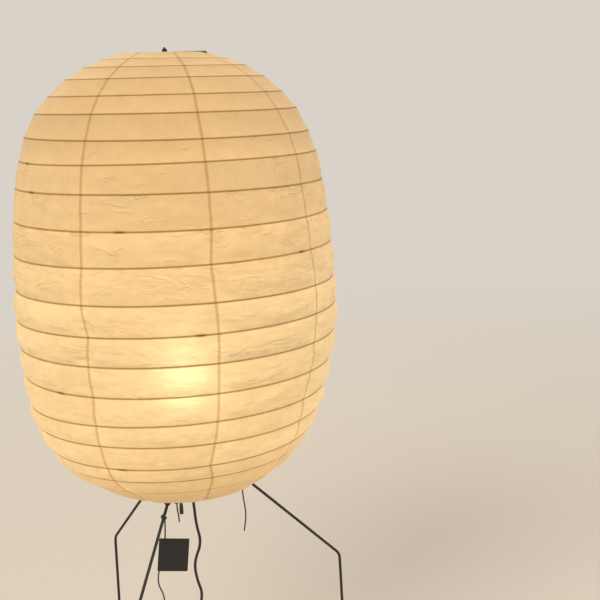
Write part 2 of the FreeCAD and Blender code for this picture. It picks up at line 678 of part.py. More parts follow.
def make_paper():
    """Paper from ring to ring, straight between its hoops, notched for the hooks and strings."""
    outer = shade_profile()
    skin = stepped_ring(outer + inward(outer, PAPER)[::-1], SIDES)
    for turn in (0, 180):
        skin = skin.cut(notch(HARP_AZIMUTH + turn, TOP_RING_RADIUS, TOP_RING_HEIGHT, BAR_WIDTH + 2, 14.0))
    for azimuth in list(LEG_AZIMUTHS.values()) + [RING_HITCH_AZIMUTH]:
        skin = skin.cut(notch(azimuth, BOTTOM_RING_RADIUS, BOTTOM_RING_HEIGHT, 6 * STRING, 14.0))
    return skin


def make_hoops():
    """One square-section hoop inside each corner of the paper."""
    centres = inward(shade_profile(), PAPER + GAP + HOOP_SIDE / math.sqrt(2))[1:-1]
    return [stepped_ring(polygon_section(radius, height, HOOP_SIDE * math.sqrt(2), 4), SIDES)
            for radius, height in centres]


def placed_ring(major, minor, centre, axis, sides, corners):
    """Small ring of cord round an axis through a centre."""
    ring = stepped_ring(polygon_section(major, 0.0, minor, corners), sides)
    turn = FreeCAD.Rotation(UP, axis)
    ring.Placement = FreeCAD.Placement(centre, turn)
    return ring


def make_ring_lashings():
    """A turn of string round the bottom ring and each leg, knotted, and leg c's hitch on the ring."""
    solids = []
    half = (LEG_ROD + BOTTOM_RING_WIRE) / 4 + RING_STAND_OFF / 2 + GAP + STRING / 2 + LASHING_SLACK
    for azimuth in LEG_AZIMUTHS.values():
        normal = leg_normal(azimuth)
        ring_point = polar(BOTTOM_RING_RADIUS, azimuth, BOTTOM_RING_HEIGHT)
        bottom = ring_point - normal * (RING_STAND_OFF + LEG_ROD / 2)
        top = ring_point + normal * (BOTTOM_RING_WIRE / 2)
        centre = (bottom + top) * 0.5
        sideways = polar(1, azimuth + 90, 0)
        axis = (leg_direction(azimuth) - sideways).normalize()
        loop = placed_ring(half, STRING, centre, axis, 16, 6)
        knot = ball(STRING, centre - normal * (half + STRING / 2))
        solids.append(loop.fuse(knot))
    point = polar(BOTTOM_RING_RADIUS, RING_HITCH_AZIMUTH, BOTTOM_RING_HEIGHT)
    hitch = (BOTTOM_RING_WIRE + STRING) / 2 + 2 * GAP
    solids.append(placed_ring(hitch, STRING, point, polar(1, RING_HITCH_AZIMUTH + 90, 0), 12, 6))
    return Part.makeCompound(solids)


def tag_hitch_point():
    """Point on leg c's centre line where the tag's string is hitched."""
    return polar(TAG_HITCH_RADIUS, LEG_AZIMUTHS["c"], MEET_HEIGHT - TAG_HITCH_RADIUS * math.tan(SLOPE))


def tag_point(right, height, forward=0.0):
    """Point beside the tag's string: steps to the right and forward as seen from its front."""
    base = tag_hitch_point()
    across = polar(right, TAG_FACING + 90, 0)
    ahead = polar(forward, TAG_FACING, 0)
    return Vector(base.x + across.x + ahead.x, base.y + across.y + ahead.y, height)


def tag_route():
    """Points of the tag's string, behind the tag's back."""
    return [tuple(tag_point(right, height)) for right, height in TAG_STRING_ROUTE]


def make_tag_hitch():
    """Turn of string round leg c, with the knot that the tag's string hangs from."""
    along = leg_direction(LEG_AZIMUTHS["c"])
    radius = (LEG_ROD + STRING) / 2 + 2 * GAP
    centre = tag_hitch_point() + along * radius
    loop = placed_ring(radius, STRING, centre, along, 12, 6)
    knot = ball(STRING, centre - leg_normal(LEG_AZIMUTHS["c"]) * radius)
    top = TAG_STRING_ROUTE[0][1] + FIT
    below = Part.makeBox(20, 20, 20, Vector(centre.x - 10, centre.y - 10, top - 20))
    rod = peg(LEG_ROD / 2 + GAP, 40, centre - along * 20, along)
    return loop.fuse(knot).cut(below).cut(rod)


def make_square_tag():
    """Bare flat tag with two small clips on its back round the string."""
    back = STRING / 2 + GAP
    low = TAG_TOP_HEIGHT - TAG_HEIGHT
    plate = Part.makeBox(TAG_WIDTH, TAG_THICKNESS, TAG_HEIGHT, Vector(-TAG_LEFT, -back - TAG_THICKNESS, low))
    upright = [edge for edge in plate.Edges if abs(edge.tangentAt(edge.FirstParameter).y) > 0.9]
    plate = plate.makeFillet(TAG_CORNER, upright)
    plate.rotate(Vector(0, 0, 0), UP, TAG_FACING + 90)
    base = tag_hitch_point()
    plate.translate(Vector(base.x, base.y, 0))
    for first in (1, 2):
        start = tag_point(*TAG_STRING_ROUTE[first])
        end = tag_point(*TAG_STRING_ROUTE[first + 1])
        direction = (end - start).normalize()
        foot = (start + end) * 0.5 - direction * (TAG_CLIP_LENGTH / 2)
        clip = peg(back + 0.9, TAG_CLIP_LENGTH, foot, direction)
        hole = peg(back, TAG_CLIP_LENGTH, foot, direction)
        plate = plate.fuse(clip).cut(hole)
    front = Part.makeBox(TAG_WIDTH, 10, TAG_HEIGHT, Vector(-TAG_LEFT, -back - TAG_THICKNESS - 10, low))
    front.rotate(Vector(0, 0, 0), UP, TAG_FACING + 90)
    front.translate(Vector(base.x, base.y, 0))
    return plate.cut(front)


def make_end_knot(point):
    """Knot at the end of a string, cut flat where the string meets it."""
    knot = ball(KNOT_DIAMETER / 2, point - Vector(0, 0, KNOT_DIAMETER / 3))
    above = Part.makeBox(KNOT_DIAMETER, KNOT_DIAMETER, KNOT_DIAMETER,
                         point - Vector(KNOT_DIAMETER / 2, KNOT_DIAMETER / 2, 0))
    return knot.cut(above)


def coil_point(turns):
    """Centre line of the put-away coil after a number of turns from its outer start."""
    half = COIL_TURNS / 2
    from_start = turns if turns <= half else COIL_TURNS - turns
    radius = COIL_OUTER - COIL_PITCH * from_start
    climb = min(max((turns - half) / 0.5 + 0.5, 0.0), 1.0)
    height = COIL_HEIGHT + COIL_PITCH * climb * climb * (3 - 2 * climb)
    centre = Vector(COIL_CENTRE[0], COIL_CENTRE[1], 0)
    return centre + polar(radius, 360.0 * turns, height)


def coil_tangent(turns):
    """Direction of the coil's centre line, level at its two ends."""
    step = 1e-4
    low = max(turns - step, 0.0)
    high = min(turns + step, COIL_TURNS)
    direction = (coil_point(high) - coil_point(low)).normalize()
    if turns in (0.0, COIL_TURNS):
        return Vector(0, 1, 0)
    return direction


def biarc(start, start_way, end, end_way):
    """Two arcs from start to end that share a tangent with each other and with both ways."""
    chord = end - start
    ways = start_way + end_way
    along = chord.dot(ways)
    spread = 2 * (1 - start_way.dot(end_way))
    reach = (-along + math.sqrt(along * along + spread * chord.dot(chord))) / spread
    first = start + start_way * reach
    last = end - end_way * reach
    join = (first + last) * 0.5
    arcs = []
    for one, corner, other in ((start, first, join), (join, last, end)):
        middle = (one + other) * 0.5
        lift = corner - middle
        half = (other - one).Length / 2
        angle = math.atan2(half, lift.Length)
        sagitta = half * math.tan((math.pi / 2 - angle) / 2)
        arcs.append(Part.Arc(one, middle + lift.normalize() * sagitta, other).toShape())
    return arcs


def make_coil():
    """Put-away length of the mains cord: one tube wound in and out again over two layers."""
    count = int(COIL_TURNS * COIL_ARCS_PER_TURN)
    stops = [COIL_TURNS * i / count for i in range(count + 1)]
    edges = []
    for low, high in zip(stops, stops[1:]):
        edges += biarc(coil_point(low), coil_tangent(low), coil_point(high), coil_tangent(high))
    start = coil_point(0.0) - Vector(0, CORD, 0)
    edges.insert(0, Part.LineSegment(start, coil_point(0.0)).toShape())
    edges.append(Part.LineSegment(coil_point(COIL_TURNS), plug_start()).toShape())
    path = Part.Wire(edges)
    coil = swept(path, flat_section(start, Vector(0, 1, 0), CORD, COIL_CORNERS))
    print("coil length", round(path.Length), "least gap", round(coil_gap(), 2))
    return coil


def coil_gap():
    """Least space between turns of the coil, measured on points of its centre line."""
    per_turn = 48
    count = int(COIL_TURNS * per_turn)
    points = [coil_point(COIL_TURNS * i / count) for i in range(count + 1)]
    least = 1e9
    for i, point in enumerate(points):
        for other in points[i + per_turn // 2:]:
            least = min(least, point.distanceToPoint(other))
    return least - CORD


def make_coil_tie():
    """Flat band round the coil's turns, opposite the place where the cord comes in."""
    inner = COIL_OUTER - COIL_PITCH * COIL_TURNS / 2 - CORD / 2 - GAP
    outer = COIL_OUTER + CORD / 2 + GAP
    low = COIL_HEIGHT - CORD / 2 - GAP
    high = COIL_HEIGHT + COIL_PITCH + CORD / 2 + GAP
    hole = Part.makeBox(outer - inner, TIE_WIDTH, high - low, Vector(-outer, -TIE_WIDTH / 2, low))
    band = Part.makeBox(outer - inner + 2 * TIE_THICKNESS, TIE_WIDTH, high - low + 2 * TIE_THICKNESS,
                        Vector(-outer - TIE_THICKNESS, -TIE_WIDTH / 2, low - TIE_THICKNESS))
    band = band.cut(hole)
    band.translate(Vector(COIL_CENTRE[0], COIL_CENTRE[1], 0))
    return band


def plug_start():
    """Point where the cord goes into the plug's sleeve."""
    return coil_point(COIL_TURNS) + Vector(0, COIL_END, 0)


def make_plug_body():
    """Flat moulded plug with a tapered sleeve for the cord."""
    start = plug_start()

    def section(ahead, width, thickness):
        """Eight-cornered outline square to the cord."""
        cut = 0.22 * min(width, thickness)
        half_w = width / 2
        half_t = thickness / 2
        corners = [(half_w, half_t - cut), (half_w - cut, half_t), (cut - half_w, half_t),
                   (-half_w, half_t - cut), (-half_w, cut - half_t), (cut - half_w, -half_t),
                   (half_w - cut, -half_t), (half_w, cut - half_t)]
        return [start + Vector(x, ahead, z) for x, z in corners]

    stations = [(0.0, 1.4 * CORD, 1.4 * CORD), (PLUG_SLEEVE, 2.0 * CORD, 2.0 * CORD),
                (PLUG_SLEEVE + 0.35 * PLUG_LENGTH, PLUG_WIDTH, PLUG_THICKNESS),
                (PLUG_SLEEVE + PLUG_LENGTH, PLUG_WIDTH, PLUG_THICKNESS)]
    rows = [section(*station) for station in stations]
    faces = [Part.Face(Part.makePolygon(row + row[:1])) for row in (rows[0], rows[-1])]
    for row, after in zip(rows, rows[1:]):
        for i in range(len(row)):
            corners = [row[i - 1], row[i], after[i], after[i - 1], row[i - 1]]
            faces.append(Part.Face(Part.makePolygon(corners)))
    return shell_solid(faces)


def make_plug_blades():
    """Two flat blades with a round hole near each end."""
    face = plug_start() + Vector(0, PLUG_SLEEVE + PLUG_LENGTH, 0)
    blades = []
    for side in (-1, 1):
        centre = face + Vector(side * BLADE_SPACING / 2, 0, 0)
        corner = centre - Vector(BLADE_THICKNESS / 2, 0, BLADE_WIDTH / 2)
        blade = Part.makeBox(BLADE_THICKNESS, BLADE_LENGTH, BLADE_WIDTH, corner)
        eye = centre + Vector(-BLADE_THICKNESS, 0.75 * BLADE_LENGTH, 0)
        blades.append(blade.cut(peg(1.6, 3 * BLADE_THICKNESS, eye, Vector(1, 0, 0))))
    return Part.makeCompound(blades)


def build_stand():
    """Legs, feet, hub, stem and cord grip."""
    for name, azimuth in LEG_AZIMUTHS.items():
        save("leg_" + name, make_leg(azimuth))
    save("foot_caps", Part.makeCompound([make_foot_cap(azimuth) for azimuth in LEG_AZIMUTHS.values()]))
    save("hub", make_hub())
    save("grub_screws", make_grub_screws())
    stem_height = HUB_TOP + SADDLE_THICKNESS + STEM_INTO_HOLDER - STEM_BOTTOM
    stem = peg(STEM_DIAMETER / 2, stem_height, Vector(0, 0, STEM_BOTTOM))
    save("stem_tube", stem.cut(peg(STEM_BORE / 2, stem_height, Vector(0, 0, STEM_BOTTOM))))
    nut = hexagon(NUT_WIDTH, NUT_HEIGHT, HUB_BOTTOM - NUT_HEIGHT)
    bore = peg(STEM_DIAMETER / 2 + FIT, NUT_HEIGHT, Vector(0, 0, HUB_BOTTOM - NUT_HEIGHT))
    save("stem_nut", nut.cut(bore))
    save("cord_grip", make_cord_grip())


def build_harp():
    """Saddle, wire, boss, bar and finial."""
    save("harp_saddle", make_harp_saddle())
    save("harp_wire", make_harp_wire())
    save("harp_boss", make_harp_boss())
    save("top_bar", make_top_bar())
    save("finial_nut", make_finial_nut())


def build_lampholder():
    """Lampholder, pull switch and bulb."""
    save("holder_cap", make_holder_cap())
    save("holder_shell", make_holder_shell())
    save("switch_block", make_switch_block())
    save("holder_insert", make_holder_insert())
    save("screw_sleeve", make_screw_sleeve())
    save("centre_contact", make_centre_contact())
    save("switch_lever", make_switch_lever())
    save("pull_wire", make_pull_wire())
    save("pull_knob", make_pull_knob())
    save("bulb_glass", make_bulb_glass())
    save("bulb_cap", make_bulb_cap())
    save("bulb_contact", make_bulb_contact())


def build_shade():
    """Paper, hoops and the two wire rings."""
    save("paper_shade", make_paper())
    for number, hoop in enumerate(make_hoops(), 1):
        save("hoop_%02d" % number, hoop)
    save("top_ring", stepped_ring(polygon_section(TOP_RING_RADIUS, TOP_RING_HEIGHT, TOP_RING_WIRE, 6), SIDES))
    save("bottom_ring",
         stepped_ring(polygon_section(BOTTOM_RING_RADIUS, BOTTOM_RING_HEIGHT, BOTTOM_RING_WIRE, 6), SIDES))


def build_strings():
    """Strings that tie the shade down, and the tag."""
    save("ring_lashings", make_ring_lashings())
    save("tail_a", cord_tube("tail_a", TAIL_A_ROUTE, STRING))
    save("tail_c", cord_tube("tail_c", TAIL_C_ROUTE, STRING))
    save("tag_hitch", make_tag_hitch())
    route = tag_route()
    print("tag string route", [tuple(round(value, 1) for value in point) for point in route])
    save("tag_string", cord_tube("tag_string", route, STRING))
    save("square_tag", make_square_tag())
    save("tag_knot", make_end_knot(Vector(*route[-1])))


def build_mains_cord():
    """Free stretch, coil, tie and plug."""
    save("mains_cord", cord_tube("mains_cord", CORD_ROUTE, CORD))
    save("mains_coil", make_coil())
    save("coil_tie", make_coil_tie())
    save("plug_body", make_plug_body())
    save("plug_blades", make_plug_blades())


build_stand()
build_harp()
build_lampholder()
build_shade()
build_strings()
build_mains_cord()
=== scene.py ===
import logging
import math
from dataclasses import dataclass, field
from enum import Enum
from functools import lru_cache
from typing import Optional, Sequence

import bpy
import numpy as np
from mathutils import Matrix, Vector, noise


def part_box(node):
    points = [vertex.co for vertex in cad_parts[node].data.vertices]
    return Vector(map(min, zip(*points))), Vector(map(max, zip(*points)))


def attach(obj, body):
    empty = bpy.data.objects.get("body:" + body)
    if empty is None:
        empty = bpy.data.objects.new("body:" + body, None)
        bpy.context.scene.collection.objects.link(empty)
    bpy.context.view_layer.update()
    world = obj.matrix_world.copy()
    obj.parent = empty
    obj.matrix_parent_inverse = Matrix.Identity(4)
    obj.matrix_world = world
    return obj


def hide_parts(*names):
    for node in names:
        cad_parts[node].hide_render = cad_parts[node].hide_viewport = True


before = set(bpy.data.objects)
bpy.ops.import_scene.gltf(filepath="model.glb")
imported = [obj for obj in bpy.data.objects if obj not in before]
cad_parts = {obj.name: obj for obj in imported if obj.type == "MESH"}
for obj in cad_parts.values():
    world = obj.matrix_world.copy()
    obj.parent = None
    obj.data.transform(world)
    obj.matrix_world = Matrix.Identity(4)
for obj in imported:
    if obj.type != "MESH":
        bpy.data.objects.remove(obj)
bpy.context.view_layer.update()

log = logging.getLogger("lantern")
MM = 0.001                     # metres in a millimetre
TAU = 2 * math.pi
UP = Vector((0.0, 0.0, 1.0))
SHARP = 35.0                   # degrees at which an edge of a mesh made here stays sharp
TUBE_SHARP = 50.0              # the same for a tube, so that only its ends are sharp
CAD_BEVEL_FROM = 40.0          # degrees at which a CAD edge is softened
CAD_SHARP = 32.0               # degrees at which a CAD edge stays sharp
WELD = 1e-6                    # metres within which a CAD mesh's doubled points are joined
WHITE = (1.0, 1.0, 1.0, 1.0)


class Body(Enum):
    """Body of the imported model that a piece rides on."""

    ROOT = "root"
    BULB = "bulb"
    PULL = "pull"
    FINIAL = "finial"


class Across(Enum):
    """Where a finish takes the place of its pattern from."""

    ROUND = "Object"
    ALONG = "UV"


# ---------------------------------------------------------------- shared geometry


def polar(radius: float, azimuth: float, height: float) -> Vector:
    """Point round the lamp's axis, with the azimuth in degrees."""
    turn = math.radians(azimuth)
    return Vector((radius * math.cos(turn), radius * math.sin(turn), height))


def smooth(value: float, low: float = 0.0, high: float = 1.0) -> float:
    """Smooth step of a value from 0 at low to 1 at high."""
    part = min(max((value - low) / (high - low), 0.0), 1.0)
    return part * part * (3 - 2 * part)


def new_object(name: str, vertices: Sequence, faces: Sequence,
               sharp: float = SHARP) -> bpy.types.Object:
    """Make a mesh object with smooth faces and sharp edges where it turns a corner.

    Args:
        name: the piece's name.
        vertices: points in metres.
        faces: tuples of vertex indices.
        sharp: angle in degrees above which an edge stays sharp.

    Returns:
        The object, linked to the scene.
    """
    mesh = bpy.data.meshes.new(name)
    mesh.from_pydata([tuple(point) for point in vertices], [], [tuple(face) for face in faces])
    mesh.validate()
    mesh.update()
    mesh.shade_smooth()
    mesh.set_sharp_from_angle(angle=math.radians(sharp))
    piece = bpy.data.objects.new(name, mesh)
    bpy.context.collection.objects.link(piece)
    return piece


@dataclass
class Lattice:
    """Rows of points skinned with quads: a tube, a turned piece, a loft or a sheet of paper.

    The rows run along the piece and each row goes across it. The surface's UV map is in metres.
    """

    points: np.ndarray
    closed_across: bool = True
    closed_along: bool = False
    capped: bool = False
    left_out: Optional[np.ndarray] = None

    def _lengths(self, axis: int, closed: bool) -> np.ndarray:
        """Mean distance along one direction of the lattice, from its first line.

        Args:
            axis: 0 for along the rows, 1 for across them.
            closed: whether the last line is joined to the first.

        Returns:
            One distance per line, and one more for the joined line.
        """
        points = self.points
        if closed:
            points = np.concatenate([points, np.take(points, [0], axis=axis)], axis=axis)
        steps = np.linalg.norm(np.diff(points, axis=axis), axis=2)
        widest = steps.max(axis=1 - axis)
        return np.concatenate([[0.0], np.cumsum(widest)])

    def build(self, name: str, sharp: float = SHARP) -> bpy.types.Object:
        """Skin the lattice.

        Args:
            name: the piece's name.
            sharp: angle in degrees above which an edge stays sharp.

        Returns:
            The object, with its UV map.
        """
        rows, columns = self.points.shape[:2]
        across = self._lengths(1, self.closed_across)
        along = self._lengths(0, self.closed_along)
        faces, corners = [], []
        for i in range(rows if self.closed_along else rows - 1):
            low, high = i * columns, (i + 1) % rows * columns
            for j in range(columns if self.closed_across else columns - 1):
                if self.left_out is not None and self.left_out[i, j]:
                    continue
                after = (j + 1) % columns
                faces.append((low + j, low + after, high + after, high + j))
                corners += [(across[j], along[i]), (across[j + 1], along[i]),
                            (across[j + 1], along[i + 1]), (across[j], along[i + 1])]
        if self.capped:
            last = (rows - 1) * columns
            faces.append(tuple(range(columns - 1, -1, -1)))
            faces.append(tuple(range(last, last + columns)))
            corners += [(0.0, 0.0)] * (2 * columns)
        piece = new_object(name, self.points.reshape(-1, 3), faces, sharp)
        layer = piece.data.uv_layers.new(name="UVMap")
        layer.data.foreach_set("uv", np.array(corners, np.float32).ravel())
        return piece


def frames_along(path: Sequence[Vector], closed: bool) -> list[tuple[Vector, Vector]]:
    """Carry a pair of cross axes along a path with the least twist.

    Args:
        path: points in metres.
        closed: whether the last point is joined to the first.

    Returns:
        Two unit vectors square to the path at each point.
    """
    count = len(path)
    tangents = []
    for i in range(count):
        before = path[i - 1] if closed or i else path[0]
        after = path[(i + 1) % count] if closed or i < count - 1 else path[-1]
        tangents.append((after - before).normalized())
    side = tangents[0].orthogonal().normalized()
    sides = [side]
    for one, other in zip(tangents, tangents[1:]):
        side = (one.rotation_difference(other) @ side).normalized()
        sides.append((side - other * side.dot(other)).normalized())
    if closed:
        back = tangents[-1].rotation_difference(tangents[0]) @ sides[-1]
        spare = math.atan2(back.cross(sides[0]).dot(tangents[0]), back.dot(sides[0]))
        sides = [Matrix.Rotation(spare * i / count, 3, way) @ side
                 for i, (side, way) in enumerate(zip(sides, tangents))]
    return [(side, way.cross(side)) for side, way in zip(sides, tangents)]


def tube(name: str, path: Sequence[Vector], radius: float, corners: int = 12,
         closed: bool = False) -> bpy.types.Object:
    """Round tube along a path.

    Args:
        name: the piece's name.
        path: points of its centre line, in metres.
        radius: in metres.
        corners: points round the tube.
        closed: whether it is a ring.

    Returns:
        The object.
    """
    turns = [TAU * j / corners for j in range(corners)]
    rows = [[point + (one * math.cos(turn) + other * math.sin(turn)) * radius for turn in turns]
            for point, (one, other) in zip(path, frames_along(path, closed))]
    return Lattice(np.array(rows), closed_along=closed, capped=not closed).build(name, TUBE_SHARP)


def turned(name: str, profile_mm: Sequence[tuple[float, float]], corners: int,
           centre: Vector = Vector((0, 0, 0))) -> bpy.types.Object:
    """Piece turned round an upright axis.

    Args:
        name: the piece's name.
        profile_mm: (radius, height) points in millimetres, from one end to the other.
        corners: points round the piece.
        centre: where the axis stands, in metres.

    Returns:
        The object.
    """
    rows = [[centre + polar(radius * MM, 360.0 * j / corners, height * MM) for j in range(corners)]
            for radius, height in profile_mm]
    return Lattice(np.array(rows), capped=True).build(name)


def rounded_path(corners: Sequence[Vector], bend: float, steps: int = 12) -> list[Vector]:
    """Centre line of a rigid rod bent to a radius at each of its corners.

    Args:
        corners: the ends and corners of the rod, in metres.
        bend: bend radius in metres.
        steps: points on each bend.

    Returns:
        Points along the rod.
    """
    path = [corners[0]]
    for before, corner, after in zip(corners, corners[1:], corners[2:]):
        way_in = (corner - before).normalized()
        way_out = (after - corner).normalized()
        turn = way_in.angle(way_out)
        reach = bend * math.tan(turn / 2)
        axis = way_in.cross(way_out).normalized()
        start = corner - way_in * reach
        centre = start + axis.cross(way_in) * bend
        for i in range(steps + 1):
            path.append(centre + Matrix.Rotation(turn * i / steps, 3, axis) @ (start - centre))
    path.append(corners[-1])
    return path


def joined(name: str, pieces: Sequence[bpy.types.Object]) -> bpy.types.Object:
    """Join several meshes into one piece.

    Args:
        name: the piece's name.
        pieces: the meshes, the first of which keeps the rest.

    Returns:
        The first piece, under its new name.
    """
    first = pieces[0]
    with bpy.context.temp_override(active_object=first, object=first, selected_objects=list(pieces),
                                   selected_editable_objects=list(pieces)):
        bpy.ops.object.join()
    first.name = name
    first.data.name = name
    return first


# ---------------------------------------------------------------- shared materials


def linear(colour: str) -> tuple[float, float, float, float]:
    """Linear colour, with alpha, of an sRGB hex value such as "#c8b090"."""
    parts = [int(colour[i:i + 2], 16) / 255 for i in (1, 3, 5)]
    return (*[part / 12.92 if part <= 0.04045 else ((part + 0.055) / 1.055) ** 2.4
              for part in parts], 1.0)


def add_node(tree: bpy.types.NodeTree, kind: str, links: Optional[dict] = None,
             **settings) -> bpy.types.Node:
    """Add a node with its settings, values and links.

    Args:
        tree: the material's or the world's node tree.
        kind: the node's type, without its leading "ShaderNode".
        links: for each input, by name or number, a value or the socket that feeds it.
        settings: the node's own properties.

    Returns:
        The node.
    """
    node = tree.nodes.new("ShaderNode" + kind)
    for key, value in settings.items():
        setattr(node, key, value)
    for key, value in (links or {}).items():
        if isinstance(value, bpy.types.NodeSocket):
            tree.links.new(value, node.inputs[key])
        else:
            node.inputs[key].default_value = value
    return node


@lru_cache(maxsize=None)
def material_of(finish: "Finish") -> bpy.types.Material:
    """Material of a finish, made once."""
    material = bpy.data.materials.new(finish.title)
    material.use_nodes = True
    material.node_tree.nodes.clear()
    finish.paint(material.node_tree)
    return material


@dataclass(frozen=True)
class Finish:
    """Surface of a real material: its colour, gloss and texture."""

    title: str
    colour: str
    roughness: float
    ior: float = 1.5
    metallic: float = 0.0
    across: Across = Across.ROUND

    def millimetres(self, tree: bpy.types.NodeTree) -> bpy.types.NodeSocket:
        """Place on the surface in millimetres, as a vector socket."""
        place = add_node(tree, "TexCoord").outputs[self.across.value]
        return add_node(tree, "VectorMath", {0: place, "Scale": 1000.0}, operation="SCALE").outputs[0]

    def paint(self, tree: bpy.types.NodeTree) -> None:
        """Fill a node tree with the finish."""
        raise NotImplementedError

    def surface(self, tree: bpy.types.NodeTree, inputs: dict) -> None:
        """Join a principled shader to the output.

        Args:
            tree: the material's node tree.
            inputs: what feeds the shader beyond the finish's own values.
        """
        values = {"Base Color": linear(self.colour), "Roughness": self.roughness,
                  "Metallic": self.metallic}
        if not self.metallic:
            values["IOR"] = self.ior
        shader = add_node(tree, "BsdfPrincipled", {**values, **inputs})
        add_node(tree, "OutputMaterial", {"Surface": shader.outputs[0]})

    def mottle(self, tree: bpy.types.NodeTree, grain: bpy.types.NodeSocket, dark: str,
               light: str) -> bpy.types.NodeSocket:
        """Colour between two tones by a grain.

        Args:
            tree: the material's node tree.
            grain: socket from 0 to 1.
            dark: tone at 0.
            light: tone at 1.

        Returns:
            Colour socket.
        """
        return add_node(tree, "Mix", {0: grain, 6: linear(dark), 7: linear(light)},
                        data_type="RGBA").outputs[2]

    def gloss(self, tree: bpy.types.NodeTree, grain: bpy.types.NodeSocket,
              spread: float) -> bpy.types.NodeSocket:
        """Roughness that varies with a grain by a spread each way."""
        low, high = self.roughness - spread, self.roughness + spread
        return add_node(tree, "MapRange", {0: grain, 3: low, 4: high}).outputs[0]

    def relief(self, tree: bpy.types.NodeTree, height: bpy.types.NodeSocket, depth: float,
               strength: float = 1.0) -> bpy.types.NodeSocket:
        """Bump of a real depth in millimetres."""
        return add_node(tree, "Bump", {"Height": height, "Distance": depth * MM,
                                       "Strength": strength}).outputs[0]


@dataclass(frozen=True)
class GrainedFinish(Finish):
    """Finish whose surface is one even grain: powder coat, moulded plastic, rubber or glaze."""

    dark: str = "#101010"
    light: str = "#202020"
    grain_mm: float = 1.0       # size of the grain
    depth_mm: float = 0.05
    cloud_mm: float = 18.0      # size of the clouds in the tone
    spread: float = 0.05
    coat: float = 0.0
    sheen: float = 0.0

    def paint(self, tree: bpy.types.NodeTree) -> None:
        """Cloudy tone over centimetres, and a fine grain in the gloss and the relief."""
        place = self.millimetres(tree)
        cloud = add_node(tree, "TexNoise", {"Vector": place, "Scale": 1 / self.cloud_mm,
                                            "Detail": 3.0}).outputs[0]
        grain = add_node(tree, "TexNoise", {"Vector": place, "Scale": 1 / self.grain_mm,
                                            "Detail": 2.0}).outputs[0]
        fine = add_node(tree, "Math", {0: grain, 1: 0.3}, operation="MULTIPLY").outputs[0]
        tone = add_node(tree, "Math", {0: cloud, 1: grain, 2: fine}, operation="MULTIPLY_ADD").outputs[0]
        self.surface(tree, {
            "Base Color": self.mottle(tree, tone, self.dark, self.light),
            "Roughness": self.gloss(tree, grain, self.spread),
            "Normal": self.relief(tree, grain, self.depth_mm),
            "Coat Weight": self.coat, "Coat Roughness": 0.12, "Sheen Weight": self.sheen,
        })


@dataclass(frozen=True)
class MetalFinish(Finish):
    """Bare metal with the fine lines of how it was drawn, stamped or spun."""

    worn: str = "#8a7a50"
    line_mm: tuple[float, float, float] = (6.0, 6.0, 0.4)   # length of the lines along x, y and z
    depth_mm: float = 0.02
    spread: float = 0.12
    cloud_mm: float = 9.0                                   # size of the clouds of tarnish

    def paint(self, tree: bpy.types.NodeTree) -> None:
        """Short scratches one way, and a cloud of tarnish."""
        place = self.millimetres(tree)
        stretched = add_node(tree, "VectorMath", {0: place, 1: tuple(1 / mm for mm in self.line_mm)},
                             operation="MULTIPLY").outputs[0]
        lines = add_node(tree, "TexNoise", {"Vector": stretched, "Scale": 1.0, "Detail": 2.0}).outputs[0]
        cloud = add_node(tree, "TexNoise", {"Vector": place, "Scale": 1 / self.cloud_mm,
                                            "Detail": 4.0}).outputs[0]
        tarnish = add_node(tree, "MapRange", {0: cloud, 1: 0.42, 2: 0.68}).outputs[0]
        self.surface(tree, {
            "Base Color": self.mottle(tree, tarnish, self.colour, self.worn),
            "Roughness": self.gloss(tree, lines, self.spread),
            "Normal": self.relief(tree, lines, self.depth_mm),
        })


@dataclass(frozen=True)
class HempFinish(Finish):
    """Twisted hemp string dyed brown-black and waxed."""

    light: str = "#4a3a2c"
    lay_mm: float = 6.0          # a strand's turn round the string; 3 mm in life, drawn coarser to show
    strands: int = 2
    slant: float = 0.8           # rise of a strand for each step round the string
    depth_mm: float = 0.35

    def paint(self, tree: bpy.types.NodeTree) -> None:
        """Slanting strands from the UV map, darker in the grooves between them and lighter on their crests,
        with a fibre noise in the tone.
        """
        place = self.millimetres(tree)
        parts = add_node(tree, "SeparateXYZ", {0: place})
        slant = add_node(tree, "Math", {0: parts.outputs[0], 1: self.slant, 2: parts.outputs[1]},
                         operation="MULTIPLY_ADD").outputs[0]
        phase = add_node(tree, "Math", {0: slant, 1: TAU * self.strands / self.lay_mm},
                         operation="MULTIPLY").outputs[0]
        wave = add_node(tree, "Math", {0: phase}, operation="SINE").outputs[0]
        strand = add_node(tree, "MapRange", {0: wave, 1: -1.0, 2: 1.0}).outputs[0]
        fibre = add_node(tree, "TexNoise", {"Vector": place, "Scale": 1.1, "Detail": 3.0}).outputs[0]
        tone = add_node(tree, "Math", {0: strand, 1: fibre}, operation="MULTIPLY").outputs[0]
        self.surface(tree, {
            "Base Color": self.mottle(tree, tone, self.colour, self.light),
            "Normal": self.relief(tree, strand, self.depth_mm),
            "Sheen Weight": 0.25, "Sheen Roughness": 0.5,
        })


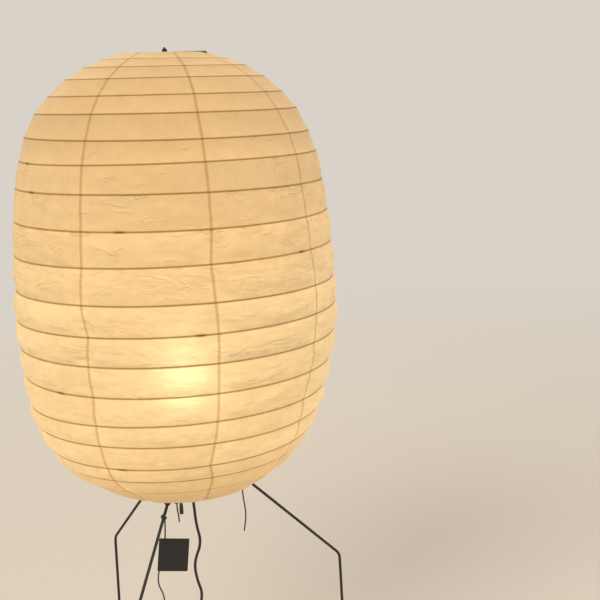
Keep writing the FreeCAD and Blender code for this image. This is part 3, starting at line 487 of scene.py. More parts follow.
@dataclass(frozen=True)
class BambooFinish(Finish):
    """Split bamboo, shaved smooth."""

    dark: str = "#7d5a30"
    fibres_per_mm: tuple[float, float, float] = (2.2, 0.03, 1.0)   # across the strip, along it and through it
    knot_every_mm: float = 260.0
    spread: float = 0.08
    depth_mm: float = 0.12

    def paint(self, tree: bpy.types.NodeTree) -> None:
        """Long fibres along the strip, with a darker node every so often."""
        place = self.millimetres(tree)
        stretched = add_node(tree, "VectorMath", {0: place, 1: self.fibres_per_mm},
                             operation="MULTIPLY").outputs[0]
        fibres = add_node(tree, "TexNoise", {"Vector": stretched, "Scale": 1.0, "Detail": 4.0}).outputs[0]
        parts = add_node(tree, "SeparateXYZ", {0: place})
        knot_step = add_node(tree, "Math", {0: parts.outputs[1], 1: self.knot_every_mm},
                             operation="PINGPONG").outputs[0]
        knot = add_node(tree, "MapRange", {0: knot_step, 1: 1.0, 2: 3.5, 3: 0.55, 4: 0.0}).outputs[0]
        tone = add_node(tree, "Math", {0: fibres, 1: knot}, operation="SUBTRACT").outputs[0]
        self.surface(tree, {
            "Base Color": self.mottle(tree, tone, self.dark, self.colour),
            "Roughness": self.gloss(tree, fibres, self.spread),
            "Normal": self.relief(tree, fibres, self.depth_mm),
        })


@dataclass(frozen=True)
class LitPaper(Finish):
    """Handmade kozo paper, lit from inside by a warm bulb.

    The bulb's light spreads in the paper, so the paper glows by itself, most near the bulb, and a small part
    goes straight through, so that the bulb shows as a soft bright patch wherever one stands. The glow is
    painted light: an emission colour by height and by how the sheet faces the bulb. Over it lie painted shade
    in creases and under the hoops, and painted shadows of the hoops and of their bound ends.
    """

    thin: str = "#a9936e"                          # colour of the thin clouds under outside light
    bulb_height: float = 0.671
    glow: tuple[tuple[float, str], ...] = ()       # glow at heights above the floor, in metres
    reach: tuple[float, float] = (0.45, 1.25)      # heights of the glow's two ends
    through: float = 0.14                          # share of the light that goes straight through
    square_power: float = 1.3                      # how fast the glow falls as the sheet turns away
    # fold_mm to slack_share shape the folds and creased patches, which darken the glow as painted shade
    fold_mm: tuple[float, float, float] = (62.0, 62.0, 19.0)    # a swell of folds round the shade and up it
    folds_in_swell: float = 4.6
    patch_mm: tuple[float, float, float] = (58.0, 58.0, 21.0)   # a creased patch round the shade and up it
    patch_edge: tuple[float, float] = (0.64, 0.7)  # where a patch begins and is full
    slack_share: float = 0.4                       # how far slack paper brings a patch on
    tangle_mm: float = 13.0                        # distance between the bark's fibres
    gap_mm: float = 9.0                            # distance between the breaks in them
    cloud_mm: float = 24.0                         # clouds of thick and thin pulp
    relief_mm: float = 1.5
    relief_strength: float = 0.75
    # gore tones the glow gore by gore and seam darkens the doubled edges; rib_shadow and splice_shadow are
    # painted shadows of the hoops and of their bound ends, seen through the sheet
    tints_and_shadows: tuple[tuple[str, str], ...] = (("gore", "#f9f4ea"), ("seam", "#e2d7c0"), ("rib_shadow", "#b6a66f"),
                                         ("splice_shadow", "#ad9a66"))

    def glow_by_height(self, tree: bpy.types.NodeTree, height: bpy.types.NodeSocket) -> bpy.types.NodeSocket:
        """Colour of the glow from the floor side to the top.

        Args:
            tree: the material's node tree.
            height: height above the floor in metres, as a socket.

        Returns:
            Colour socket.
        """
        low, high = self.reach
        part = add_node(tree, "MapRange", {0: height, 1: low, 2: high}).outputs[0]
        ramp = add_node(tree, "ValToRGB", {0: part})
        stops = ramp.color_ramp.elements
        stops.remove(stops[1])
        for i, (at, colour) in enumerate(self.glow):
            share = (at - low) / (high - low)
            stop = stops.new(share) if i else stops[0]
            stop.position = share
            stop.color = linear(colour)
        return ramp.outputs[0]

    def swells(self, tree: bpy.types.NodeTree, place: bpy.types.NodeSocket,
               size: tuple[float, float, float], detail: float, roughness: float,
               distortion: float = 0.0) -> bpy.types.NodeSocket:
        """Noise stretched to a size in millimetres along each axis.

        Args:
            tree: the material's node tree.
            place: place in millimetres.
            size: length of its swells along x, y and z.
            detail: the noise's detail.
            roughness: the noise's roughness.
            distortion: the noise's distortion.

        Returns:
            The noise from 0 to 1, as a socket.
        """
        squeezed = add_node(tree, "VectorMath", {0: place, 1: tuple(1 / mm for mm in size)},
                            operation="MULTIPLY").outputs[0]
        return add_node(tree, "TexNoise", {"Vector": squeezed, "Scale": 1.0, "Detail": detail,
                                           "Roughness": roughness, "Distortion": distortion}).outputs[0]

    def folds(self, tree: bpy.types.NodeTree,
              place: bpy.types.NodeSocket) -> tuple[bpy.types.NodeSocket, bpy.types.NodeSocket]:
        """Creases of handled paper, longer across the sheet than up it.

        Args:
            tree: the material's node tree.
            place: place in millimetres.

        Returns:
            Their painted shade, which has one sharp side, and their height, which has two soft ones, as
            sockets from 0 to 1.
        """
        swirl = self.swells(tree, place, self.fold_mm, 1.6, 0.5, 0.35)
        steps = add_node(tree, "Math", {0: swirl, 1: self.folds_in_swell}, operation="MULTIPLY").outputs[0]
        tone = add_node(tree, "Math", {0: steps}, operation="FRACT").outputs[0]
        return tone, add_node(tree, "Math", {0: steps, 1: 0.5}, operation="PINGPONG").outputs[0]

    def patches(self, tree: bpy.types.NodeTree, place: bpy.types.NodeSocket,
                slack_shade: bpy.types.NodeSocket) -> bpy.types.NodeSocket:
        """Ragged patches of painted shade where the sheet is creased, mostly in the loose paper just under a
        hoop.

        Args:
            tree: the material's node tree.
            place: place in millimetres.
            slack_shade: weight of the painted shade in loose paper and just under a hoop, from 0 to 1.

        Returns:
            0 in smooth paper and 1 in a patch, as a socket.
        """
        spread = self.swells(tree, place, self.patch_mm, 4.0, 0.6)
        total = add_node(tree, "Math", {0: slack_shade, 1: self.slack_share, 2: spread},
                         operation="MULTIPLY_ADD").outputs[0]
        return add_node(tree, "MapRange", {0: total, 1: self.patch_edge[0], 2: self.patch_edge[1]},
                        interpolation_type="SMOOTHSTEP").outputs[0]

    def fibres(self, tree: bpy.types.NodeTree, place: bpy.types.NodeSocket) -> bpy.types.NodeSocket:
        """Bark fibres, drawn 0.5 mm wide, where the real ones are 0.1 mm and wouldn't show.

        Args:
            tree: the material's node tree.
            place: place in millimetres.

        Returns:
            0 on a fibre and 1 off it, as a socket.
        """
        tangle = add_node(tree, "TexNoise", {"Vector": place, "Scale": 1 / self.tangle_mm, "Detail": 1.0,
                                             "Distortion": 1.4}).outputs[0]
        away = add_node(tree, "Math", {0: tangle, 1: 0.5}, operation="SUBTRACT").outputs[0]
        size = add_node(tree, "Math", {0: away}, operation="ABSOLUTE").outputs[0]
        line = add_node(tree, "MapRange", {0: size, 1: 0.0, 2: 0.009}).outputs[0]
        spread = add_node(tree, "TexNoise", {"Vector": place, "Scale": 1 / self.gap_mm,
                                             "Detail": 0.0}).outputs[0]
        gap = add_node(tree, "MapRange", {0: spread, 1: 0.42, 2: 0.5}).outputs[0]
        return add_node(tree, "Math", {0: line, 1: gap}, operation="MAXIMUM").outputs[0]

    def facing(self, tree: bpy.types.NodeTree, normal: bpy.types.NodeSocket) -> bpy.types.NodeSocket:
        """How squarely the creased sheet faces the bulb.

        Args:
            tree: the material's node tree.
            normal: the sheet's normal with its creases.

        Returns:
            The share of the bulb's light that the sheet takes, from 0 to 1, as a socket.
        """
        place = add_node(tree, "TexCoord").outputs["Object"]
        ray = add_node(tree, "VectorMath", {0: place, 1: (0.0, 0.0, self.bulb_height)},
                       operation="SUBTRACT").outputs[0]
        way = add_node(tree, "VectorMath", {0: ray}, operation="NORMALIZE").outputs[0]
        square = add_node(tree, "VectorMath", {0: way, 1: normal}, operation="DOT_PRODUCT").outputs["Value"]
        share = add_node(tree, "Math", {0: square}, operation="ABSOLUTE").outputs[0]
        return add_node(tree, "Math", {0: share, 1: self.square_power}, operation="POWER").outputs[0]

    def paint(self, tree: bpy.types.NodeTree) -> None:
        """Painted glow by height and by how the sheet faces the bulb, with painted shade in creases and under
        the hoops, darkened by fibres and clouds.
        """
        place = self.millimetres(tree)
        height = add_node(tree, "SeparateXYZ", {0: add_node(tree, "TexCoord").outputs["Object"]}).outputs[2]
        fold, ridge = self.folds(tree, place)
        fibre = self.fibres(tree, place)
        cloud = add_node(tree, "TexNoise", {"Vector": place, "Scale": 1 / self.cloud_mm,
                                            "Detail": 5.0}).outputs[0]
        # weight of the painted shade just under the hoops and in the loose lower bands
        slack_shade = add_node(tree, "Attribute", attribute_name="slack_shade").outputs["Fac"]
        patch = self.patches(tree, place, slack_shade)
        # painted shade in the folds of each creased patch
        depth = add_node(tree, "Math", {0: fold, 1: patch}, operation="MULTIPLY").outputs[0]
        raised = add_node(tree, "Math", {0: ridge, 1: patch}, operation="MULTIPLY").outputs[0]
        rough = add_node(tree, "Math", {0: fibre, 1: -0.08, 2: cloud}, operation="MULTIPLY_ADD").outputs[0]
        relief = add_node(tree, "Math", {0: raised, 1: 0.9, 2: rough}, operation="MULTIPLY_ADD").outputs[0]
        normal = self.relief(tree, relief, self.relief_mm, self.relief_strength)
        glow, facing = self.glow_by_height(tree, height), self.facing(tree, normal)
        tone = add_node(tree, "VectorMath", {0: glow, "Scale": facing}, operation="SCALE").outputs[0]
        # patch, depth and slack_shade darken the glow as painted shade; fibre and cloud are the paper's own
        # fibres and pulp
        # a socket, and the tone's share of its full value where that socket is 0 and where it is 1
        shades = ((patch, 1.0, 0.945), (depth, 1.0, 0.9), (slack_shade, 1.0, 0.95), (fibre, 0.978, 1.0),
                  (cloud, 0.95, 1.05))
        for shade, at_none, at_full in shades:
            grey = add_node(tree, "MapRange", {0: shade, 3: at_none, 4: at_full}).outputs[0]
            tone = add_node(tree, "VectorMath", {0: tone, "Scale": grey}, operation="SCALE").outputs[0]
        base = self.mottle(tree, cloud, self.thin, self.colour)
        # rib_shadow and splice_shadow, painted shadows of the hoops, darken the base colour as well as the
        # glow, as the seams do
        for mark, colour in self.tints_and_shadows:
            amount = add_node(tree, "Attribute", attribute_name=mark).outputs["Fac"]
            mark_tone = add_node(tree, "Mix", {0: amount, 6: WHITE, 7: linear(colour)}, data_type="RGBA").outputs[2]
            tone = add_node(tree, "VectorMath", {0: tone, 1: mark_tone}, operation="MULTIPLY").outputs[0]
            if mark != "gore":
                base = add_node(tree, "VectorMath", {0: base, 1: mark_tone}, operation="MULTIPLY").outputs[0]
        self.surface(tree, {
            "Base Color": base, "Normal": normal, "Transmission Weight": self.through,
            "Emission Color": tone, "Emission Strength": 1.0,
        })


@dataclass(frozen=True)
class LitOpal(Finish):
    """Opal glass of a burning bulb: a bright, warm white."""

    power: float = 44.0
    neck_mm: tuple[float, float] = (622.0, 664.0)      # heights where the glow begins and is full
    dim: str = "#ffd9a0"
    bright: str = "#fff0d6"

    def paint(self, tree: bpy.types.NodeTree) -> None:
        """Glass that glows most round its ball and less towards its neck."""
        height = add_node(tree, "SeparateXYZ", {0: self.millimetres(tree)}).outputs[2]
        share = add_node(tree, "MapRange", {0: height, 1: self.neck_mm[0], 2: self.neck_mm[1]},
                         interpolation_type="SMOOTHSTEP").outputs[0]
        tone = self.mottle(tree, share, self.dim, self.bright)
        self.surface(tree, {"Emission Color": tone, "Emission Strength": self.power, "Coat Weight": 0.5})


@dataclass(frozen=True)
class WovenTie(Finish):
    """Narrow black nylon webbing with a looped face."""

    light: str = "#2d2d2f"
    thread_mm: float = 0.9       # pitch of the ribs; 0.5 mm in life, drawn coarser to show
    depth_mm: float = 0.25

    def paint(self, tree: bpy.types.NodeTree) -> None:
        """Crossed ribs and a soft nap."""
        place = self.millimetres(tree)
        ribs = add_node(tree, "VectorMath", {0: place, "Scale": TAU / self.thread_mm},
                        operation="SCALE").outputs[0]
        waves = add_node(tree, "VectorMath", {0: ribs}, operation="SINE").outputs[0]
        parts = add_node(tree, "SeparateXYZ", {0: waves})
        pick = add_node(tree, "Math", {0: parts.outputs[0], 1: parts.outputs[1]},
                        operation="MULTIPLY").outputs[0]
        weave = add_node(tree, "MapRange", {0: pick, 1: -1.0, 2: 1.0}).outputs[0]
        self.surface(tree, {
            "Base Color": self.mottle(tree, weave, self.colour, self.light),
            "Normal": self.relief(tree, weave, self.depth_mm),
            "Sheen Weight": 0.5, "Sheen Roughness": 0.4,
        })


# Powder-coated steel: a matte black that is never quite even, with the fine orange peel of baked powder.
# Powder's peel is 0.5 mm across, drawn at 1.2 mm so that it shows.
POWDER_STEEL = GrainedFinish("powder_coated_steel", "#131211", 0.5, 1.5, dark="#0e0d0c", light="#191715",
                             grain_mm=1.2, depth_mm=0.04, spread=0.06)
# Phenolic pressed in a polished mould: deep black with a clear gloss and slight flow marks.
PHENOLIC = GrainedFinish("moulded_phenolic", "#141210", 0.28, 1.6, dark="#0f0d0c", light="#1d1916",
                         grain_mm=5.0, depth_mm=0.05, spread=0.08, coat=0.2)
# Rubber moulded in a blasted mould: dull, with a stipple and a little dust in it.
RUBBER = GrainedFinish("moulded_rubber", "#1b1b1b", 0.78, 1.52, dark="#151515", light="#262523",
                       grain_mm=0.8, depth_mm=0.08, spread=0.06)
# Plasticised PVC drawn over the wires: smooth with a satin gloss, and faint waves of the wires inside.
FLEX = GrainedFinish("extruded_pvc_flex", "#161616", 0.4, 1.53, dark="#121212", light="#1c1c1c",
                     grain_mm=7.0, depth_mm=0.12, spread=0.06)
# Black lacquered card: a matte face with the card's fibre under it.
CARD = GrainedFinish("lacquered_card", "#131211", 0.62, 1.5, dark="#0f0e0d", light="#191816",
                     grain_mm=1.6, depth_mm=0.06, spread=0.08, sheen=0.1)
# The cut edge of that card, where the lacquer is thin and the grey core shows; also drawn on the inner slope
# of its raised edge.
CARD_EDGE = GrainedFinish("card_edge", "#2b2926", 0.7, 1.5, dark="#22201e", light="#35322e",
                          grain_mm=1.2, depth_mm=0.06, spread=0.05)
# Glazed ceramic: warm white, glossy and slightly wavy.
CERAMIC = GrainedFinish("glazed_ceramic", "#e6e0d2", 0.16, 1.5, dark="#ddd6c6", light="#ece7dc",
                        grain_mm=4.0, depth_mm=0.05, spread=0.05)
# Stamped brass: yellow, with the lines of the strip and some tarnish.
BRASS = MetalFinish("stamped_brass", "#c8a860", 0.3, metallic=1.0, worn="#a5834a")
# Zinc-plated screws: bluish grey, bright on the turned faces.
ZINC = MetalFinish("zinc_plated_steel", "#b9bcc0", 0.32, metallic=1.0, worn="#8f9396",
                   line_mm=(1.5, 1.5, 0.5))
# Rolled aluminium of a bulb's cap: pale and bright, with lines round it.
ALUMINIUM = MetalFinish("rolled_aluminium", "#d3d4d4", 0.26, metallic=1.0, worn="#adaead",
                        line_mm=(8.0, 8.0, 0.5))
# Hemp: matte brown-black strands with a soft edge.
HEMP = HempFinish("waxed_hemp_string", "#20140e", 0.72, across=Across.ALONG)
# Bamboo shaved to a strip: straw coloured, satin, with long fibres.
BAMBOO = BambooFinish("shaved_bamboo", "#c09a63", 0.5, 1.55, across=Across.ALONG)
# Nylon hook-and-loop strip: dull black ribs with a nap.
WEBBING = WovenTie("nylon_webbing", "#17171a", 0.85, 1.53, across=Across.ALONG)
# Opal glass, lit.
OPAL = LitOpal("lit_opal_glass", "#f6efe2", 0.2, 1.52)
# Kozo paper made on a screen and glued in gores: cloudy, creased, and warm where the bulb lights it.
PAPER = LitPaper("lit_kozo_paper", "#bda77f", 0.78, 1.45, glow=(
    (0.500, "#9f7c4d"), (0.545, "#bd9862"), (0.600, "#cbab76"), (0.700, "#c8aa77"), (0.840, "#cdad79"),
    (0.960, "#d2aa72"), (1.100, "#ad8552"), (1.215, "#936d3a")))


# ---------------------------------------------------------------- putting pieces in the frame


def install(piece: bpy.types.Object, finish: Finish, slot: str, body: Body = Body.ROOT,
            nodes: Sequence[str] = ()) -> bpy.types.Object:
    """Give a new piece its finish and body, and report it with its slot.

    Args:
        piece: a mesh or a curve.
        finish: its finish.
        slot: the record's material slot.
        body: the body it rides on.
        nodes: CAD nodes that it stands for.

    Returns:
        The piece.
    """
    if not piece.data.materials:
        piece.data.materials.append(material_of(finish))
    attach(piece, body.value)
    if nodes:
        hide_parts(*nodes)
    log.info("%s on %s, %s, for %s", piece.name, body.value, slot, ", ".join(nodes) or "no node")
    return piece


def dress(names: Sequence[str], finish: Finish, bevel_mm: float = 0.0) -> None:
    """Give CAD nodes a finish, smooth rounds and softened edges.

    Args:
        names: the nodes.
        finish: their finish.
        bevel_mm: width of the softened edges.
    """
    for name in names:
        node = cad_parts[name]
        node.data.materials.clear()
        node.data.materials.append(material_of(finish))
        weld = node.modifiers.new("weld", "WELD")
        weld.merge_threshold = WELD
        if bevel_mm:
            bevel = node.modifiers.new("soft_edges", "BEVEL")
            bevel.width = bevel_mm * MM
            bevel.segments = 2
            bevel.limit_method = "ANGLE"
            bevel.angle_limit = math.radians(CAD_BEVEL_FROM)
            bevel.use_clamp_overlap = True
        node.data.shade_smooth()
        split = node.modifiers.new("crisp_edges", "EDGE_SPLIT")
        split.split_angle = math.radians(CAD_SHARP)
        log.info("%s dressed in %s", name, finish.title)


# ---------------------------------------------------------------- the shade


@dataclass
class PaperShade:
    """Paper glued in eight gores over nineteen bamboo hoops, between two wire rings."""

    hoops_mm: tuple[tuple[float, float], ...] = (
        (103.0, 1213.0), (132.0, 1201.0), (161.0, 1183.0), (190.0, 1158.0), (212.0, 1130.0),
        (230.0, 1093.0), (242.0, 1058.0), (251.0, 1013.0), (256.5, 961.0), (260.5, 906.0),
        (263.5, 849.0), (265.0, 802.0), (261.5, 754.0), (255.5, 707.0), (247.5, 659.0),
        (237.0, 622.0), (220.0, 583.0), (200.0, 554.0), (172.0, 526.0))
    top_ring_mm: tuple[float, float, float] = (72.0, 1221.0, 3.5)       # radius, height and wire
    bottom_ring_mm: tuple[float, float, float] = (97.0, 483.08, 3.0)
    seams: tuple[float, ...] = (217.6, 262.0, 303.5, 348.0, 33.0, 78.5, 124.0, 171.0)
    splices: dict[int, float] = field(default_factory=lambda: {
        6: 185.0, 7: 192.8, 8: 232.0, 9: 297.8, 11: 255.6, 13: 204.0, 16: 224.7})
    hooks: tuple[float, ...] = (-50.0, 130.0)            # azimuths of the bar's hooks on the top ring
    strings: tuple[float, ...] = (-15.0, 105.0, 225.0, 235.0)   # azimuths of the ties on the bottom ring
    notch_mm: tuple[float, float] = (5.9, 7.2)           # half width of a notch for a hook and for a tie
    hoop_mm: float = 2.3                                 # thickness of a hoop
    inside_mm: float = 0.4                               # from the paper's face to a hoop
    lap_mm: float = 14.0                                 # how far a hoop's ends lie side by side
    across_gore: int = 28                                # columns in a gore
    lean: tuple[float, float] = (-0.940, 0.340)          # way that the lower half has slipped
    slip_mm: float = 9.0
    slip_from_mm: float = 800.0                          # height where it begins; full 200 mm lower
    wander: tuple[float, float] = (0.9, 2.6)             # degrees a seam strays, high up and low down
    low_from: int = 9                                    # hoop from which it strays more
    hoop_rows_mm: tuple[float, ...] = (0.0, 0.9, 1.5, 2.1)      # rows of the sheet beside a hoop
    clear_mm: float = 5.0                                # where the even rows between two hoops begin
    row_mm: float = 5.5                                  # distance between them, about
    hem_mm: float = 0.35                                 # from a ring's wire to the paper round it
    hem_depth_mm: float = 8.0                            # how far the hem hangs inside
    hem_reach_mm: tuple[float, float] = (6.2, 12.0)      # how far from its ring, across and up or down
    seam_mm: float = 2.1                                 # half width of the lapped edges of two gores
    first_puffed: int = 7                                # first band that stands out between its hoops
    drawn_in_mm: float = 0.8                             # how far those above it are drawn in
    puff_mm: tuple[float, float] = (1.2, 4.6)            # how far the others stand out, and more lower down
    fold_mm: tuple[float, float] = (52.0, 17.0)          # a soft fold's size round the shade and up it
    patch_mm: tuple[float, float] = (95.0, 60.0)         # the same for a creased patch
    crease_mm: tuple[float, float] = (30.0, 12.0)        # the same for a sharp crease

    def sway(self, hoop: int, azimuth: float) -> tuple[float, float]:
        """How a hoop laid by hand departs from a level circle.

        Args:
            hoop: its number from the top, from 0.
            azimuth: degrees round the axis.

        Returns:
            Steps outwards and upwards, in millimetres.
        """
        turn = math.radians(azimuth)
        once = math.sin(turn + 2.4 * hoop)
        twice = math.sin(2 * turn + 1.7 * hoop + 0.6)
        steep = smooth(self.hoops_mm[hoop][0], 100.0, 240.0)
        return 0.7 * twice * steep - 0.4, 1.2 * once * steep + 0.5 * twice

    def slipped(self, height: float) -> Vector:
        """Sideways slip of the soft lower half at a height, in millimetres."""
        share = smooth(self.slip_from_mm - height, 0.0, 200.0) * smooth(height, 483.0, 523.0)
        return Vector((self.lean[0], self.lean[1], 0.0)) * (self.slip_mm * share)

    def hoop_point(self, hoop: int, azimuth: float, inwards: float = 0.0) -> Vector:
        """Point of the paper over a hoop.

        Args:
            hoop: its number from the top, from 0.
            azimuth: degrees round the axis.
            inwards: distance inside the paper, in millimetres.

        Returns:
            The point in millimetres.
        """
        radius, height = self.hoops_mm[hoop]
        out, up = self.sway(hoop, azimuth)
        last = len(self.hoops_mm) - 1
        above, below = self.hoops_mm[max(hoop - 1, 0)], self.hoops_mm[min(hoop + 1, last)]
        run = Vector((below[0] - above[0], below[1] - above[1])).normalized()
        point = polar(radius + out + run.y * inwards, azimuth, height + up - run.x * inwards)
        return point + self.slipped(point.z)

    def seam_at(self, seam: int, station: int) -> float:
        """Azimuth of a seam at a hoop: straight from hoop to hoop, with a small kink at each."""
        stray = noise.noise(Vector((seam * 7.3, station * 1.9, 0.5)))
        return self.seams[seam % len(self.seams)] + stray * self.wander[station >= self.low_from]

    def rim(self, ring: tuple[float, float, float], start: float, end: float,
            inside: float) -> list[tuple[float, float]]:
        """Outline of the hem folded over a ring.

        Args:
            ring: radius, height and wire, in millimetres.
            start: angle in degrees round the wire where the paper meets it.
            end: angle where it leaves it, inside.
            inside: height of the hem's inner edge over the ring, in millimetres.

        Returns:
            (radius, height) points in millimetres.
        """
        reach = ring[2] / 2 + self.hem_mm
        arc = [math.radians(start + (end - start) * i / 6) for i in range(7)]
        points = [(ring[0] + reach * math.cos(turn), ring[1] + reach * math.sin(turn)) for turn in arc]
        edge = (points[-1][0] - 0.2, ring[1] + inside)
        return points + [((points[-1][0] + edge[0]) / 2, (points[-1][1] + edge[1]) / 2), edge]

    def corner(self, hoop: int) -> tuple[float, float]:
        """Corner of the sheet's outline at a hoop, or at a ring past the first or last hoop.

        Args:
            hoop: its number from the top, from 0.

        Returns:
            Radius and height in millimetres.
        """
        if 0 <= hoop < len(self.hoops_mm):
            return self.hoops_mm[hoop]
        ring, out, up = ((self.top_ring_mm, 0.33, 0.944) if hoop < 0 else
                         (self.bottom_ring_mm, 0.515, -0.857))
        reach = ring[2] / 2 + self.hem_mm
        return ring[0] + reach * out, ring[1] + reach * up

    def stations(self) -> list[tuple[int, float, float, bool]]:
        """Rows of the sheet between its two hems.

        Returns:
            The band, the share of the way across it, the distance from its nearer hoop in millimetres, and
            whether that is its upper hoop, for each row.
        """
        rows = []
        count = len(self.hoops_mm) + 1
        for band in range(count):
            length = math.dist(self.corner(band - 1), self.corner(band))
            beside = list(self.hoop_rows_mm)
            inner = max(3, round(length / self.row_mm))
            middle = [self.clear_mm + (length - 2 * self.clear_mm) * i / inner for i in range(inner + 1)]
            for place in beside + middle + [length - gap for gap in reversed(beside[1:])]:
                rows.append((band, place / length, min(place, length - place), place <= length / 2))
        return rows + [(count - 1, 1.0, 0.0, False)]

    def azimuths(self, station: float) -> list[tuple[float, float]]:
        """Columns round the sheet at a station counted in hoops.

        Args:
            station: hoop number with its share of the band.

        Returns:
            The azimuth and the share of the way across its gore, for each column.
        """
        low = math.floor(station)
        part = station - low
        radius = self.hoops_mm[min(max(round(station), 0), len(self.hoops_mm) - 1)][0]
        line = math.degrees(self.seam_mm / max(radius, 75.0))
        gores = len(self.seams)
        starts = [self.seam_at(gore, low) * (1 - part) + self.seam_at(gore, low + 1) * part
                  for gore in range(gores)]
        columns = []
        for here, there in zip(starts, starts[1:] + starts[:1]):
            width = (there - here) % 360.0
            edges = [0.0, 0.7 * line / width, line / width, 1.4 * line / width]
            last = [1.0 - share for share in reversed(edges[1:])]
            inner = [edges[-1] + (1 - 2 * edges[-1]) * i / self.across_gore
                     for i in range(1, self.across_gore)]
            columns += [(here + width * share, share) for share in edges + inner + last]
        return columns

    def fullness(self, band: int) -> float:
        """How far a band stands out between its hoops, in millimetres.

        Args:
            band: band from the top, from 0.

        Returns:
            The step outwards in its middle, less than 0 where the paper is drawn in.
        """
        if band < self.first_puffed:
            return -self.drawn_in_mm
        return self.puff_mm[0] + self.puff_mm[1] * smooth(band, self.first_puffed, 12)

    def hem_rows(self, outline: Sequence[tuple[float, float]], station: float,
                 seam_radius: float) -> list[list[tuple[Vector, tuple[float, ...]]]]:
        """Rows of a hem, with a hint of the ring's shadow in their marks.

        Args:
            outline: (radius, height) of each row, in millimetres.
            station: where the seams are read, in hoops.
            seam_radius: radius at which their width is reckoned, in millimetres.

        Returns:
            Each row's points and marks, as paper_point gives them.
        """
        around = self.azimuths(station)
        return [[(polar(radius, azimuth, height), (0.25, self.seam_mark(share, seam_radius), 0.0, 0.0, 0.0))
                 for azimuth, share in around] for radius, height in outline]

    def build_paper(self) -> bpy.types.Object:
        """One sheet with its hems, seams, hoops' marks and creases.

        Returns:
            The paper.
        """
        top = self.rim(self.top_ring_mm, 70.7, 190.0, -self.hem_depth_mm)[:0:-1]
        bottom = self.rim(self.bottom_ring_mm, -59.0, -185.0, self.hem_depth_mm)[1:]
        per_gore = len(self.azimuths(0.0)) // len(self.seams)
        rows = self.hem_rows(top, -0.999, 75.0)
        for band, share_up, gap, upper in self.stations():
            around = self.azimuths(band - 1 + min(share_up, 0.9999))
            rows.append([self.paper_point(band, share_up, gap, upper, azimuth, share, j // per_gore)
                         for j, (azimuth, share) in enumerate(around)])
        rows += self.hem_rows(bottom, len(self.hoops_mm) - 0.001, 97.0)
        points = np.array([[point for point, _ in row] for row in rows]) * MM
        sheet = Lattice(points, left_out=self.notches(points)).build("paper_sheet", 75.0)
        marks = np.array([[detail for _, detail in row] for row in rows], np.float32).reshape(-1, 5)
        # rib_shadow and splice_shadow are painted shadows of the hoops and their bound ends, slack_shade is
        # painted shade under the hoops and in loose paper; seam and gore tone the sheet itself
        for i, mark in enumerate(("rib_shadow", "seam", "splice_shadow", "gore", "slack_shade")):
            layer = sheet.data.attributes.new(mark, "FLOAT", "POINT")
            layer.data.foreach_set("value", np.ascontiguousarray(marks[:, i]))
        return sheet

    def seam_mark(self, share: float, radius: float) -> float:
        """Darkness of the double paper at a gore's edge."""
        width = TAU / len(self.seams) * radius
        return 1.0 - smooth(min(share, 1.0 - share) * width, 1.5, 2.9)

    def in_cells(self, point: Vector, size: tuple[float, float], shift: float = 0.0) -> Vector:
        """Point counted in cells of a size round the shade and up it, shifted up by some."""
        return Vector((point.x / size[0], point.y / size[0], point.z / size[1] + shift))

    def hoop_marks(self, hoop: int, azimuth: float, gap: float) -> tuple[float, float]:
        """Painted shadows of a hoop and of its lapped, bound ends, cast through the paper over it.

        Args:
            hoop: the nearer hoop, which may be past the first or last one.
            azimuth: degrees round the axis.
            gap: distance to it, in millimetres.

        Returns:
            The painted shadows of the hoop and of its bound ends.
        """
        if not 0 <= hoop < len(self.hoops_mm):
            return 0.0, 0.0
        away = abs((azimuth - self.splice_azimuth(hoop) + 180.0) % 360.0 - 180.0)
        along = math.radians(away) * self.hoops_mm[hoop][0]
        return 1.0 - smooth(gap, 0.8, 1.9), (1.0 - smooth(along, 6.0, 8.0)) * (1.0 - smooth(gap, 1.3, 2.3))

    def creases(self, point: Vector, band: int, gap: float) -> tuple[float, float]:
        """Soft folds and sharp creases of the handled sheet, less of both in the taut upper bands.

        Args:
            point: place on the sheet in millimetres.
            band: band from the top, from 0.
            gap: distance to the nearer hoop, in millimetres.

        Returns:
            The step outwards in millimetres, and how creased the place is, from -1 to 1.
        """
        loose = smooth(gap, 1.0, 9.0) * (0.25 + 0.75 * smooth(band, 6, 12))
        at = self.in_cells(point, self.fold_mm)
        fold = noise.noise(at) + 0.55 * noise.noise(at * 2.3) + 0.3 * noise.noise(at * 4.7)
        patch = noise.noise(self.in_cells(point, self.patch_mm, 7.0))
        crease = abs(noise.noise(self.in_cells(point, self.crease_mm, 3.0)))
        return (1.5 * fold - 2.6 * (0.25 - min(crease, 0.25)) * (1.0 + patch)) * loose, patch

    def paper_point(self, band: int, share_up: float, gap: float, upper: bool, azimuth: float, share: float,
                    gore: int) -> tuple[Vector, tuple[float, ...]]:
        """Place and marks of one point of the sheet.

        Args:
            band: band from the top, from 0.
            share_up: share of the way from its upper hoop to its lower one.
            gap: distance to the nearer hoop, in millimetres.
            upper: whether the nearer hoop is the upper one.
            azimuth: degrees round the axis.
            share: share of the way across the gore.
            gore: the gore's number.

        Returns:
            The point in millimetres, and its rib_shadow, seam, splice_shadow, gore and slack_shade marks.
        """
        start, end = [self.hoop_point(hoop, azimuth) if 0 <= hoop < len(self.hoops_mm)
                      else polar(self.corner(hoop)[0], azimuth, self.corner(hoop)[1])
                      for hoop in (band - 1, band)]
        point = start.lerp(end, share_up)
        normal = polar(1.0, azimuth + 90.0, 0.0).cross(end - start).normalized()
        if normal.dot(polar(1.0, azimuth, 0.0) + UP * (0.5 if band < 8 else -0.5)) < 0:
            normal = -normal
        swell = 4 * share_up * (1 - share_up)
        drawn = 1.0 - 0.55 * math.exp(-(min(share, 1 - share) * 12.0) ** 2)
        ripple, creased = self.creases(point, band, gap)
        point = point + normal * (self.fullness(band) * swell * drawn + ripple)
